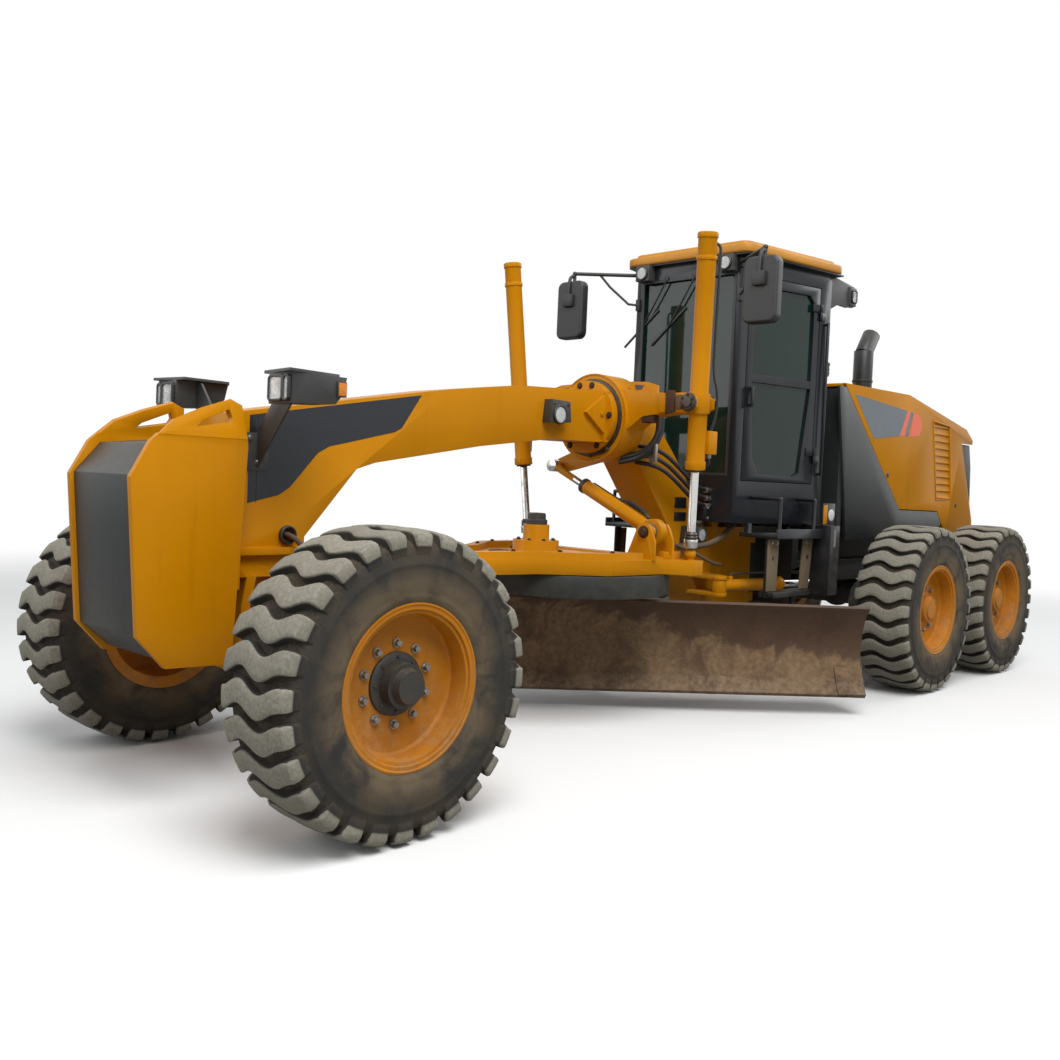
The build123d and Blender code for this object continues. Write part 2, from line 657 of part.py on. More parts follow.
def drawbar():
    """The frame between the ball and the circle, with its lift balls and the swing cylinder's bracket."""
    floor = CIRCLE_TOP + RUNNING_GAP
    half = [
        (BALL_X - 230, 106),
        (CIRCLE_X + 650, 330),
        (CIRCLE_X + 300, 600),
        (CIRCLE_X - 200, 650),
        (LIFT_BALL[0] + 60, LIFT_BALL[1] + 55),
        (LIFT_BALL[0] - 70, LIFT_BALL[1] + 55),
        (LIFT_BALL[0] - 70, LIFT_BALL[1] - 80),
    ]
    frame = floor_plate(half + [(x, -y) for x, y in reversed(half)], floor, DRAWBAR_TOP)
    window = [(BALL_X - 620, 70), (CIRCLE_X + 720, 190), (CIRCLE_X + 720, -190), (BALL_X - 620, -70)]
    frame -= floor_plate(window, floor - 5, DRAWBAR_TOP + 5)
    rail = [
        (BALL_X - 560, 98),
        (BALL_X - 560, 158),
        (CIRCLE_X + 650, 318),
        (CIRCLE_X + 310, 572),
        (CIRCLE_X - 30, 606),
        (CIRCLE_X - 30, 520),
        (CIRCLE_X + 280, 500),
        (CIRCLE_X + 620, 240),
    ]
    frame += both(floor_plate(rail, DRAWBAR_TOP - 5, DRAWBAR_TOP + DRAWBAR_RAIL))
    frame += slab((CIRCLE_X + 20, CIRCLE_X + 120), (-470, 470), (DRAWBAR_TOP - 5, DRAWBAR_TOP + 12))
    frame += slab((CIRCLE_X - 330, CIRCLE_X - 230), (-470, 470), (DRAWBAR_TOP - 5, DRAWBAR_TOP + 12))
    neck = [
        (BALL_X + 52, BALL_Z - 40),
        (BALL_X + 52, BALL_Z + 40),
        (BALL_X - 60, BALL_Z + 60),
        (BALL_X - 230, DRAWBAR_TOP),
        (BALL_X - 420, DRAWBAR_TOP),
        (BALL_X - 420, floor),
        (BALL_X - 260, floor - 40),
        (BALL_X - 60, BALL_Z - 58),
    ]
    bore = rod((BALL_X, 60, BALL_Z), (BALL_X, 120, BALL_Z), BALL_TRUNNION_RADIUS + PIN_GAP)
    x, y, z = LIFT_BALL
    post = rod((x, y, DRAWBAR_TOP - 5), (x, y, z), 24) + Pos(x, y, z) * Sphere(LIFT_BALL_RADIUS)
    frame += both(side_plate(neck, 72, 106) - bore + post)
    return frame + swing_cheeks() + swing_ball() + circle_drive()


def swing_cheeks():
    """The two ear plates on the drawbar that hold the swing cylinder's ball, and the web between their feet."""
    x, y, z = SWING_BASE
    cheek = [
        (650, DRAWBAR_TOP - 5),
        (650, z - 60),
        (y + 56, z + 20),
        (y + 34, z + 50),
        (y - 20, z + 56),
        (y - 50, z + 34),
        (420, DRAWBAR_TOP - 5),
    ]
    cheeks = slab((x - SWING_CHEEK_GAP, x + SWING_CHEEK_GAP), (440, 640), (DRAWBAR_TOP - 5, DRAWBAR_TOP + 16))
    for low in (x + SWING_CHEEK_GAP, x - SWING_CHEEK_GAP - SWING_CHEEK):
        cheeks += cross_plate(cheek, low, low + SWING_CHEEK)
    return cheeks


def swing_ball():
    """The swing cylinder's ball on the cross pin that holds it between its cheeks."""
    end, pin = SWING_CHEEK_GAP + SWING_CHEEK + 2, SWING_PIN_RADIUS
    neck = math.sqrt(SWING_BALL_RADIUS ** 2 - pin ** 2)
    outline = Polyline((neck, pin), (end, pin), (end, 0), (-end, 0), (-end, pin), (-neck, pin))
    outline += ThreePointArc((-neck, pin), (0, SWING_BALL_RADIUS), (neck, pin))
    return Pos(*SWING_BASE) * revolve(make_face(outline), Axis.X, 360)


def circle_drive():
    """The gearbox and motor that turn the circle, on the middle of the drawbar."""
    x = CIRCLE_X + 330
    drive = rod((x, 0, DRAWBAR_TOP - 5), (x, 0, DRAWBAR_TOP + 90), 150)
    return drive + rod((x, 0, DRAWBAR_TOP + 85), (x, 0, DRAWBAR_TOP + 190), 85)


def at_circle(shape):
    """Turns a piece made about the circle's axis to the blade's angle and puts it in place."""
    return Pos(CIRCLE_X, 0, 0) * Rot(0, 0, BLADE_ANGLE) * shape


def circle():
    """The toothed ring with the two arms that reach down to the blade."""
    ring = rod((0, 0, CIRCLE_BOTTOM), (0, 0, CIRCLE_TOP), CIRCLE_RADIUS)
    ring -= rod((0, 0, CIRCLE_BOTTOM - 5), (0, 0, CIRCLE_TOP + 5), CIRCLE_INNER_RADIUS)
    ring += rod((0, 0, CIRCLE_TOP - 30), (0, 0, CIRCLE_TOP + RUNNING_GAP - SEAT_GAP), CIRCLE_INNER_RADIUS + 60)
    ring -= rod((0, 0, CIRCLE_TOP - 31), (0, 0, CIRCLE_TOP + 10), CIRCLE_INNER_RADIUS)
    arm = [
        (-610, CIRCLE_BOTTOM + 5),
        (-250, CIRCLE_BOTTOM + 5),
        (-330, 800),
        (PITCH_X + 60, PITCH_Z + 40),
        (PITCH_X + 45, PITCH_Z - 45),
        (PITCH_X - 45, PITCH_Z - 45),
        (PITCH_X - 60, PITCH_Z + 60),
    ]
    low = CARRIER_Y + CARRIER_THICK + RUNNING_GAP
    ring += both(side_plate(arm, low, low + ARM_THICK))
    ring += both(rod((PITCH_X, CARRIER_Y - 10, PITCH_Z), (PITCH_X, low + ARM_THICK + 10, PITCH_Z), PITCH_PIN_RADIUS))
    return at_circle(ring)


def blade_point(radius, share):
    """A point of the blade's curved section, from share -1 at its edge to 1 at its top."""
    half = BLADE_HEIGHT / 2
    a = math.pi - share * math.asin(half / BLADE_RADIUS)
    middle = BLADE_EDGE_X + math.sqrt(BLADE_RADIUS ** 2 - half ** 2)
    return middle + radius * math.cos(a), BLADE_BOTTOM + half + radius * math.sin(a)


def blade_band(inner, outer, top, low, high):
    """A curved plate between two radii, up to a share of the blade's height, from y = low to y = high."""
    middle = (top - 1) / 2
    near = [blade_point(inner, share) for share in (-1, middle, top)]
    far = [blade_point(outer, share) for share in (-1, middle, top)]
    lines = ThreePointArc(*near) + Line(near[2], far[2]) + ThreePointArc(*far[::-1]) + Line(far[0], near[0])
    plane = Plane(origin=(0, high, 0), x_dir=(1, 0, 0), z_dir=(0, -1, 0))
    return extrude(plane * make_face(lines), high - low)


def moldboard():
    """The curved blade with its cutting edge, its end bits and the two rails that it slides on."""
    low, high = BLADE_SHIFT - BLADE_LENGTH / 2, BLADE_SHIFT + BLADE_LENGTH / 2
    blade = blade_band(BLADE_RADIUS, BLADE_RADIUS + BLADE_THICK, 1, low, high)
    start, end = low + END_BIT_LENGTH + 3, high - END_BIT_LENGTH - 3
    blade += blade_band(BLADE_RADIUS - EDGE_THICK, BLADE_RADIUS + 1, EDGE_SHARE, start, end)
    for foot in (low, high - END_BIT_LENGTH):
        bit = (END_BIT_SHARE, foot, foot + END_BIT_LENGTH)
        blade += blade_band(BLADE_RADIUS - END_BIT_THICK, BLADE_RADIUS + 1, *bit)
    for z in RAIL_ROWS:
        blade += slab((rail_x(), rail_x() + RAIL_DEPTH), (low + 120, high - 120), (z, z + RAIL_THICK))
    return at_circle(blade)


def rail_x():
    """The back face of the blade's slide rails."""
    return BLADE_EDGE_X - 200


def blade_carrier():
    """The two brackets behind the blade, joined by a tube, that tip on the circle's arms."""
    back = rail_x()
    bracket = [
        (PITCH_X - 40, PITCH_Z - 38),
        (PITCH_X + 40, PITCH_Z - 38),
        (back - 10, 345),
        (back - 10, 620),
        (back - 60, 640),
        (PITCH_X - 45, PITCH_Z + 40),
    ]
    plate = side_plate(bracket, CARRIER_Y, CARRIER_Y + CARRIER_THICK)
    span = (CARRIER_Y - 40, CARRIER_Y + CARRIER_THICK)
    for z in RAIL_ROWS:
        top = z + RAIL_THICK
        plate += slab((back - 12, back + RAIL_GRIP), span, (z - RAIL_THICK, z - SEAT_GAP))
        plate += slab((back - 12, back + RAIL_GRIP), span, (top + SEAT_GAP, top + RAIL_THICK))
        plate += slab((back - 12, back - SEAT_GAP), span, (z - 10, top + 10))
    bore = PITCH_PIN_RADIUS + PIN_GAP
    plate -= rod((PITCH_X, CARRIER_Y - 5, PITCH_Z), (PITCH_X, CARRIER_Y + 60, PITCH_Z), bore)
    tube = rod((back - 52, -CARRIER_Y - 5, 500), (back - 52, CARRIER_Y + 5, 500), 34)
    return at_circle(both(plate) + tube)


def arc_points(radius, half):
    """The arc of a circle about the origin between x = -half and x = half, as three points."""
    edge = math.sqrt(radius ** 2 - half ** 2)
    return (-half, edge), (0, radius), (half, edge)


def swing_socket():
    """The thin socket round the bracket's ball, in which the swing cylinder turns and tilts."""
    inner = arc_points(SWING_BALL_RADIUS + SEAT_GAP, SWING_EYE_HALF)
    outer = arc_points(SWING_SOCKET_RADIUS, SWING_EYE_HALF)
    lines = ThreePointArc(*inner) + Line(inner[2], outer[2])
    lines += ThreePointArc(*outer[::-1]) + Line(outer[0], inner[0])
    return Pos(*SWING_BASE) * revolve(make_face(lines), Axis.X, 360)


def swing_barrel():
    """The swing cylinder's barrel, with its eye round the socket."""
    inner = arc_points(SWING_SOCKET_RADIUS + SEAT_GAP, SWING_EYE_HALF)
    low, high = (-SWING_EYE_HALF, SWING_EYE_RADIUS), (SWING_EYE_HALF, SWING_EYE_RADIUS)
    lines = ThreePointArc(*inner) + Line(inner[2], high) + Line(high, low) + Line(low, inner[0])
    eye = Pos(*SWING_BASE) * revolve(make_face(lines), Axis.X, 360)
    start = along(SWING_BASE, SWING_EYE, SWING_EYE_RADIUS - 12)
    barrel = rod(start, along(SWING_BASE, SWING_EYE, SWING_BARREL_LENGTH), SWING_BARREL_RADIUS)
    bore = along(SWING_BASE, SWING_EYE, SWING_EYE_RADIUS + 25)
    barrel -= rod(bore, along(SWING_BASE, SWING_EYE, SWING_BARREL_LENGTH + 2), SWING_ROD_RADIUS + ROD_GAP)
    return barrel + eye


def swing_rod():
    """The swing cylinder's rod, with its eye in front of the saddle's low arm."""
    x, y, z = SWING_EYE
    start = along(SWING_BASE, SWING_EYE, SWING_ROD_START)
    piston = rod(start, along(SWING_EYE, SWING_BASE, 20), SWING_ROD_RADIUS)
    return piston + rod((x - 30, y, z), (x + 30, y, z), 44)


def steer_barrel():
    """The left articulation cylinder's barrel, with its base eye on the front frame's pin."""
    x, y, z = STEER_BASE
    mouth = along(STEER_BASE, STEER_EYE, STEER_BARREL_LENGTH)
    barrel = rod((x, y, z - 46), (x, y, z + 46), 52)
    barrel += rod(along(STEER_BASE, STEER_EYE, 30), mouth, STEER_BARREL_RADIUS - 12)
    barrel += rod(along(STEER_BASE, STEER_EYE, STEER_BARREL_LENGTH - 60), mouth, STEER_BARREL_RADIUS - 4)
    barrel -= rod((x, y, z - 50), (x, y, z + 50), 22 + PIN_GAP)
    past = along(STEER_BASE, STEER_EYE, STEER_BARREL_LENGTH + 2)
    return barrel - rod(along(STEER_BASE, STEER_EYE, 75), past, STEER_ROD_RADIUS + ROD_GAP)


def steer_rod():
    """The left articulation cylinder's rod, with its eye between the rear frame's plates."""
    x, y, z = STEER_EYE
    start = along(STEER_BASE, STEER_EYE, STEER_ROD_START)
    piston = rod(start, along(STEER_EYE, STEER_BASE, 20), STEER_ROD_RADIUS)
    return piston + rod((x, y, z - 46), (x, y, z + 46), 46)


def cab_half(x):
    """Half of the cab's outer width at a length."""
    share = (CAB_FRONT_X - x) / (CAB_FRONT_X - CAB_BACK_X)
    return CAB_FRONT_HALF + (CAB_BACK_HALF - CAB_FRONT_HALF) * share


def cab_plan(inset):
    """The cab's plan, moved inwards from its outer faces."""
    front, back = CAB_FRONT_X - inset, CAB_BACK_X + inset
    slant = math.hypot(1, (CAB_BACK_HALF - CAB_FRONT_HALF) / (CAB_FRONT_X - CAB_BACK_X))
    a, b = cab_half(front) - inset * slant, cab_half(back) - inset * slant
    return [(front, a), (back, b), (back, -b), (front, -a)]


def on_cab_side(shape):
    """Puts a piece on the cab's left side. It is made with x = 0 at the front post and y = 0 outside."""
    angle = math.degrees(math.atan2(CAB_BACK_HALF - CAB_FRONT_HALF, CAB_FRONT_X - CAB_BACK_X))
    return Pos(CAB_FRONT_X, CAB_FRONT_HALF, 0) * Rot(0, 0, -angle) * shape


def hinge_leaf(z, reach):
    """One half of a door hinge: a knuckle on the hinge line and a leaf that reaches along the side."""
    leaf = rod((-DOOR_END, HINGE_OUT, z), (-DOOR_END, HINGE_OUT, z + 60), 13)
    return leaf + slab((-DOOR_END, -DOOR_END + reach), (0, 10), (z, z + 60))


def cab_frame():
    """The cab's hollow body: floor, walls and posts, with its windows and doorways cut."""
    cab = floor_plate(cab_plan(0), CAB_BOTTOM, CAB_TOP)
    cab -= floor_plate(cab_plan(CAB_WALL), CAB_BOTTOM + 70, CAB_TOP - 40)
    front = (CAB_FRONT_X - CAB_WALL - 10, CAB_FRONT_X + 10)
    back = (CAB_BACK_X - 10, CAB_BACK_X + CAB_WALL + 10)
    cab -= slab(front, (-CAB_FRONT_HALF + 62, CAB_FRONT_HALF - 62), (CAB_SILL + 40, CAB_HEAD))
    cab -= slab(back, (-CAB_BACK_HALF + 110, CAB_BACK_HALF - 110), (CAB_SILL + 360, CAB_HEAD - 40))
    doorway = on_cab_side(slab((-DOOR_END, -DOOR_START), (-CAB_WALL - 30, 30), (CAB_SILL, CAB_HEAD)))
    cab -= doorway
    cab -= mirrored(doorway)
    hinges = None
    for z in HINGE_ROWS:
        leaf = hinge_leaf(z, -60) + rod((-DOOR_END, HINGE_OUT, z), (-DOOR_END, HINGE_OUT, z + 120), 6)
        hinges = leaf if hinges is None else hinges + leaf
    rail = (-DOOR_END - 62, 36)
    low, high = CAB_SILL + 70, CAB_HEAD - 260
    hinges += rod((*rail, low), (*rail, high), 12)
    for z in (low + 14, high - 14):
        hinges += rod((rail[0], -2, z), (*rail, z), 11)
    return cab + both(on_cab_side(hinges))


def door_panes(low, high):
    """The door's two window openings, with their cut corners, from y = low to y = high."""
    back, front = -DOOR_END + DOOR_GAP + DOOR_BORDER, -DOOR_START - DOOR_GAP - DOOR_BORDER
    sill, rail, head = CAB_SILL + 54, DOOR_RAIL_Z, CAB_HEAD - 72
    lower = [
        (front, rail - 30),
        (back, rail - 30),
        (back + 84, sill + 30),
        (back + 140, sill),
        (front - 120, sill),
        (front - 44, sill + 120),
    ]
    upper = [
        (front, rail + 30),
        (back, rail + 30),
        (back, head - 60),
        (back + 50, head),
        (front - 240, head - 6),
        (front, head - 70),
    ]
    return side_plate(lower, low, high) + side_plate(upper, low, high)


def door():
    """The left cab door: a framed leaf with an upper and a lower window, its hinges and its handle."""
    low, high = CAB_SILL + DOOR_GAP, CAB_HEAD - DOOR_GAP
    back, front = -DOOR_END + DOOR_GAP, -DOOR_START - DOOR_GAP
    leaf = slab((back, front), (-DOOR_THICK, 0), (low, high)) - door_panes(-DOOR_THICK - 5, 5)
    for z in HINGE_ROWS:
        leaf += hinge_leaf(z + 60 + SEAT_GAP, 90)
        leaf -= rod((-DOOR_END, HINGE_OUT, z + 50), (-DOOR_END, HINGE_OUT, z + 122), 6 + PIN_GAP)
    leaf += slab((front - 46, front - 22), (0, 45), (HANDLE_Z, HANDLE_Z + 150))
    leaf -= slab((front - 50, front), (12, 33), (HANDLE_Z + 25, HANDLE_Z + 125))
    return on_cab_side(leaf)


def door_glass():
    """The two panes of the left door."""
    return on_cab_side(door_panes(-DOOR_THICK / 2 - 4, -DOOR_THICK / 2 + 4))


def cab_glass():
    """The cab's windscreen and rear window."""
    front = CAB_FRONT_X - CAB_WALL / 2
    back = CAB_BACK_X + CAB_WALL / 2
    panes = slab((front - 4, front + 4), (-CAB_FRONT_HALF + 62, CAB_FRONT_HALF - 62), (CAB_SILL + 40, CAB_HEAD))
    panes += slab((back - 4, back + 4), (-CAB_BACK_HALF + 110, CAB_BACK_HALF - 110), (CAB_SILL + 360, CAB_HEAD - 40))
    return panes


def cab_roof():
    """The roof cap with its rounded corners, which stands out past the cab's walls."""
    front, back = CAB_FRONT_X + 60, CAB_BACK_X - 110
    plan = [(front, 560), (back, 750), (back, -750), (front, -560)]
    lid = [(front - 40, 510), (back + 40, 700), (back + 40, -700), (front - 40, -510)]
    brim = floor_plate(plan, CAB_TOP, ROOF_TOP - ROOF_LID)
    brim = fillet(brim.edges().filter_by(Axis.Z), 90)
    crown = floor_plate(lid, ROOF_TOP - ROOF_LID, ROOF_TOP)
    return brim + fillet(crown.edges().filter_by(Axis.Z), 80)


def operator_chair():
    """The driver's chair: its pedestal, cushion and back."""
    chair = slab((-4330, -4010), (-150, 150), (CAB_BOTTOM + 70, 1760))
    chair += slab((-4400, -3930), (-245, 245), (1760, 1880))
    back = [(-4390, 1870), (-4270, 1870), (-4370, 2480), (-4470, 2480)]
    return chair + side_plate(back, -230, 230)


def steering_console():
    """The steering column with its wheel."""
    foot, head = (-3760, 0, CAB_BOTTOM + 85), (-3860, 0, 2080)
    tilt = Pos(*head) * Rot(0, -18, 0)
    column = rod(foot, head, 45) + tilt * Cylinder(60, 60)
    column += rod((-3760, 0, CAB_BOTTOM + 70), (-3760, 0, CAB_BOTTOM + 110), 65)
    ring = tilt * Pos(0, 0, 22) * (Torus(185, 13) + Box(370, 26, 12) + Box(26, 370, 12))
    return column + ring


def mirrors():
    """The two outside mirrors, with rounded heads, on their bent tubes."""
    x, y, z = MIRROR_BEND
    foot = (CAB_FRONT_X + 14, CAB_FRONT_HALF - 14, z)
    mirror_arm = rod(foot, MIRROR_BEND, MIRROR_TUBE) + rod(MIRROR_BEND, (x, y, z - 300), MIRROR_TUBE)
    mirror_arm += Pos(x, y, z) * Sphere(MIRROR_TUBE + 4)
    mirror_arm += slab((CAB_FRONT_X, CAB_FRONT_X + 16), (CAB_FRONT_HALF - 28, CAB_FRONT_HALF), (z - 30, z + 30))
    head = fillet(Box(72, 260, 450).edges().filter_by(Axis.X), 55)
    head = fillet(head.faces().sort_by(Axis.X)[-1].edges(), 20)
    return both(mirror_arm + Pos(x + 18, y, z - 290) * head)


def steps():
    """The platforms under the doors, their hanging steps, the hooped grab rails and the side boxes."""
    top = CAB_BOTTOM - PLATFORM_DROP + 30
    side = slab((-4400, -3740), (480, 800), (top - 30, top)) + slab((-4400, -3740), (788, 800), (top - 5, top + 40))
    for x in (-4330, -3790):
        side += slab((x - 35, x + 35), (694, 706), (800, top - 28))
        side += slab((x - 20, x + 20), (500, 540), (top, CAB_BOTTOM))
    side += slab((-4330, -3790), (640, 760), (800, 840))
    side += slab((-4560, -4420), (700, 860), (800, 1330)) + slab((-4540, -4440), (600, 700), (1290, 1330))
    for x in (-4310, -3810):
        bend = (x, 770, CAB_BOTTOM + 190)
        side += rod((x, cab_half(x) + 4, bend[2]), bend, 14) + Pos(*bend) * Sphere(14) + rod((x, 770, top - 1), bend, 14)
    return both(side)


def rear_frame():
    """The rear rails with their cross members, the articulation fork and the back plate."""
    rail = slab((-7700, -4720), (RAIL_Y - RAIL_HALF_WIDTH, RAIL_Y + RAIL_HALF_WIDTH), (RAIL_BOTTOM, RAIL_TOP))
    frame = both(rail) + slab((-4790, -4700), (-385, 385), (614, 1276))
    for x in (-5060, -6700, -7300):
        frame += slab((x - 40, x + 40), (-RAIL_Y, RAIL_Y), (RAIL_BOTTOM + 20, RAIL_TOP - 20))
    frame += articulation_fork() + both(steer_bracket())
    for x, top in ((-4960, 2430), (-7300, 2255)):
        half = HOOD_HALF_WIDTH - HOOD_WALL
        frame += slab((x - 30, x + 30), (-half, half), (RAIL_TOP - 5, RAIL_TOP + 70))
        frame += both(slab((x - 30, x + 30), (half - 60, half), (RAIL_TOP, top)))
        frame += slab((x - 30, x + 30), (-half, half), (top - 60, top))
    frame += slab((-7740, -7700), (-600, 600), (780, 1340))
    return frame + tow_clevis()


def articulation_fork():
    """The ears above and below the front frame's tongues, with the articulation pin through them."""
    upper, lower = FRAME_BOX_TOP - 60, FRAME_BOX_BOTTOM + 30
    fork = rod((PIVOT_X, 0, lower - 60), (PIVOT_X, 0, upper + 60), PIVOT_PIN_RADIUS)
    for low in (upper + RUNNING_GAP, lower - RUNNING_GAP - 50):
        plan = [(-4710, -240), (-4710, 240), (PIVOT_X, 105), (PIVOT_X, -105)]
        fork += floor_plate(plan, low, low + 50) + rod((PIVOT_X, 0, low), (PIVOT_X, 0, low + 50), 105)
    return fork


def steer_bracket():
    """The left plates that hold the eye of an articulation cylinder's rod."""
    x, y, z = STEER_EYE
    plates = None
    for low in (z + 52, z - 76):
        plan = [(-4780, 380), (-4700, 380), (x + 48, y), (x - 40, y + 30), (-4860, 380)]
        plate = floor_plate(plan, low, low + 24) + rod((x, y, low), (x, y, low + 24), 56)
        plates = plate if plates is None else plates + plate
    plates += rod((x, y, z + 76), (x, y, z + 86), 26) + rod((x, y, z - 86), (x, y, z - 76), 26)
    return plates + slab((-4900, -4780), (370, 400), (z - 76, z + 76))


def tow_clevis():
    """The clevis under the back plate, bored for a tow pin."""
    x = -7800
    ears = None
    for low in (840, 930):
        ear = slab((x, -7735), (-55, 55), (low, low + 30)) + rod((x, 0, low), (x, 0, low + 30), 55)
        ear -= rod((x, 0, low - 2), (x, 0, low + 32), 20.5)
        ears = ear if ears is None else ears + ear
    return ears


def rear_axle():
    """The axle housing under the rails and the two tandem cases with their hubs."""
    axle = rod((-WHEEL_BASE, -TANDEM_Y, TYRE_RADIUS), (-WHEEL_BASE, TANDEM_Y, TYRE_RADIUS), 120)
    axle += Pos(-WHEEL_BASE, 0, TYRE_RADIUS) * Sphere(150)
    axle += both(slab((-WHEEL_BASE - 90, -WHEEL_BASE + 90), (RAIL_Y - 50, RAIL_Y + 50), (700, RAIL_BOTTOM)))
    radius = 165
    low, high = TANDEM_Y - TANDEM_HALF_WIDTH, TANDEM_Y + TANDEM_HALF_WIDTH
    base, top = TYRE_RADIUS - radius, TYRE_RADIUS + radius
    outline = [(MID_X, base), (MID_X, top), (-WHEEL_BASE, top + 35), (REAR_X, top), (REAR_X, base)]
    case = side_plate(outline, low, high)
    for x in (MID_X, REAR_X):
        case += rod((x, low, TYRE_RADIUS), (x, high, TYRE_RADIUS), radius)
        case += rod((x, high - 5, TYRE_RADIUS), (x, hub_face(), TYRE_RADIUS), 100)
    return axle + both(case)


def engine_block():
    """The engine, as one plain block at its real place and size."""
    return slab((-6500, -5300), (-300, 300), (RAIL_TOP, ENGINE_TOP))


HOOD_TOP = [(-4900, 2470), (-6120, 2486), (-7480, 2267), (-7654, 2169)]
VENT = [(-6670, 2290), (-7050, 2265), (-7160, 1590), (-6830, 1570)]


def hood_height(x):
    """How high the hood's front slope stands at a length."""
    (x0, z0), (x1, z1) = HOOD_TOP[:2]
    return z0 + (z1 - z0) * (x - x0) / (x1 - x0)


def hood():
    """The yellow hood: a folded top over two cut side panels."""
    sides = HOOD_TOP + [
        (-7645, 2130),
        (-7375, 2130),
        (-7738, 1370),
        (-7738, 1232),
        (-7090, 1232),
        (-6970, 1350),
        (-6865, 1460),
        (-6030, 1469),
    ]
    shell = both(side_plate(sides, HOOD_HALF_WIDTH - HOOD_WALL, HOOD_HALF_WIDTH))
    half = HOOD_HALF_WIDTH - HOOD_WALL
    shell += side_plate(folded(HOOD_TOP, HOOD_WALL), -half - 1, half + 1)
    shell = shell - both(side_plate(VENT, HOOD_HALF_WIDTH - LOUVRE_DEPTH, HOOD_HALF_WIDTH + 5)) + both(louvres())
    x, y, radius = STACK
    return shell - rod((x, y, 2300), (x, y, 2600), radius + SEAT_GAP)


def louvres():
    """The slats in the recess of the hood's left side."""
    low, high = VENT[3][1] + 30, VENT[0][1] - 30
    slats = None
    for i in range(LOUVRE_COUNT):
        z = low + (high - low) * i / (LOUVRE_COUNT - 1)
        blade = [(HOOD_HALF_WIDTH - 18, z - 14), (HOOD_HALF_WIDTH - 3, z - 14), (HOOD_HALF_WIDTH - 18, z + 14)]
        slat = cross_plate(blade, -7200, -6600)
        slats = slat if slats is None else slats + slat
    return slats & side_plate(VENT, HOOD_HALF_WIDTH - HOOD_WALL, HOOD_HALF_WIDTH)


def engine_fairing():
    """The dark panels in front of the hood's sides and over the front tandem wheels."""
    outline = [
        (-4806, 2440),
        (-4922, 2440),
        (-6034, 1461),
        (-6862, 1452),
        (-6962, 1345),
        (-6900, 1250),
        (-5974, 1236),
        (-5050, 1204),
    ]
    panels = both(side_plate(outline, HOOD_HALF_WIDTH - HOOD_WALL, HOOD_HALF_WIDTH))
    half = HOOD_HALF_WIDTH - HOOD_WALL
    return panels + slab((-4928, -4903), (-half - 1, half + 1), (1300, 2430))


def rear_grille():
    """The dark wedge that closes the back of the hood, with slots across its back."""
    outline = [(-7341, 2122), (-7640, 2122), (-7700, 1900), (-7736, 1380), (-7696, 1380)]
    half = HOOD_HALF_WIDTH - HOOD_WALL - SEAT_GAP
    wedge = side_plate(outline, -half, half)
    for i in range(SLAT_COUNT):
        z = 1450 + 55 * i
        back = grille_back(z)
        wedge -= slab((back - 60, back + 20), (-half + 60, half - 60), (z, z + 28))
    return wedge


def grille_back(z):
    """Where the rear grille's back face stands at a height."""
    (x0, z0), (x1, z1) = ((-7700, 1900), (-7736, 1380)) if z < 1900 else ((-7640, 2122), (-7700, 1900))
    return x0 + (x1 - x0) * (z - z0) / (z1 - z0)


def exhaust():
    """The exhaust stack, with its cut end bent backwards."""
    x, y, radius = STACK
    return rod((x, y, 2360), (x, y, 2870), radius) + rod((x + 10, y, 2840), (x - 130, y, 3030), radius - 8)


def air_cleaner():
    """The air intake's stem and its round cap."""
    x, y, radius = AIR_STEM
    foot = hood_height(x - radius) + SEAT_GAP
    stem = rod((x, y, foot), (x, y, 2610), radius)
    return stem + rod((x, y, 2605), (x, y, 2700), 150)


NODES = {
    "rear_frame": rear_frame(),
    "rear_axle": rear_axle(),
    "engine_block": engine_block(),
    "hood": hood(),
    "engine_fairing": engine_fairing(),
    "rear_grille": rear_grille(),
    "exhaust": exhaust(),
    "air_cleaner": air_cleaner(),
    "front_frame": front_frame(),
    "nose_plates": nose_plates(),
    "nose_panel": nose_panel(),
    "work_lamps": work_lamps(),
    "front_axle": front_axle(),
    "saddle": saddle(),
    "cab_frame": cab_frame(),
    "cab_roof": cab_roof(),
    "cab_glass": cab_glass(),
    "operator_chair": operator_chair(),
    "steering_console": steering_console(),
    "mirrors": mirrors(),
    "steps": steps(),
    "lean_bar": lean_bar(),
    "drawbar_ball": drawbar_ball(),
    "drawbar": drawbar(),
    "circle": circle(),
    "blade_carrier": blade_carrier(),
    "moldboard": moldboard(),
    "swing_socket": swing_socket(),
    "swing_barrel": swing_barrel(),
    "swing_rod": swing_rod(),
}
PAIRED = {
    "door": door(),
    "door_glass": door_glass(),
    "lean_bracket": lean_bracket(),
    "knuckle": knuckle(),
    "lift_barrel": lift_barrel(),
    "lift_rod": lift_rod(),
    "steer_barrel": steer_barrel(),
    "steer_rod": steer_rod(),
}
for name, shape in PAIRED.items():
    for word, side in SIDES:
        NODES[f"{name}_{word}"] = sided(shape, side)
WHEELS = (
    # place, length from the front axle, hub cap radius, hub cap length
    ("front", 0.0, 78.0, 120.0),
    ("mid", MID_X, 70.0, 70.0),
    ("rear", REAR_X, 70.0, 70.0),
)
RUBBER = tyre()
for place, x, cap_radius, cap_length in WHEELS:
    steel = rim(cap_radius, cap_length)
    for word, side in SIDES:
        NODES[f"tyre_{place}_{word}"] = Pos(x, side * TRACK / 2, TYRE_RADIUS) * RUBBER
        NODES[f"rim_{place}_{word}"] = at_wheel(steel, x, side)

os.makedirs(PARTS, exist_ok=True)
for name, shape in NODES.items():
    export_step(Pos(FRONT_AXLE_X, 0, 0) * shape, f"{PARTS}/{name}.step")
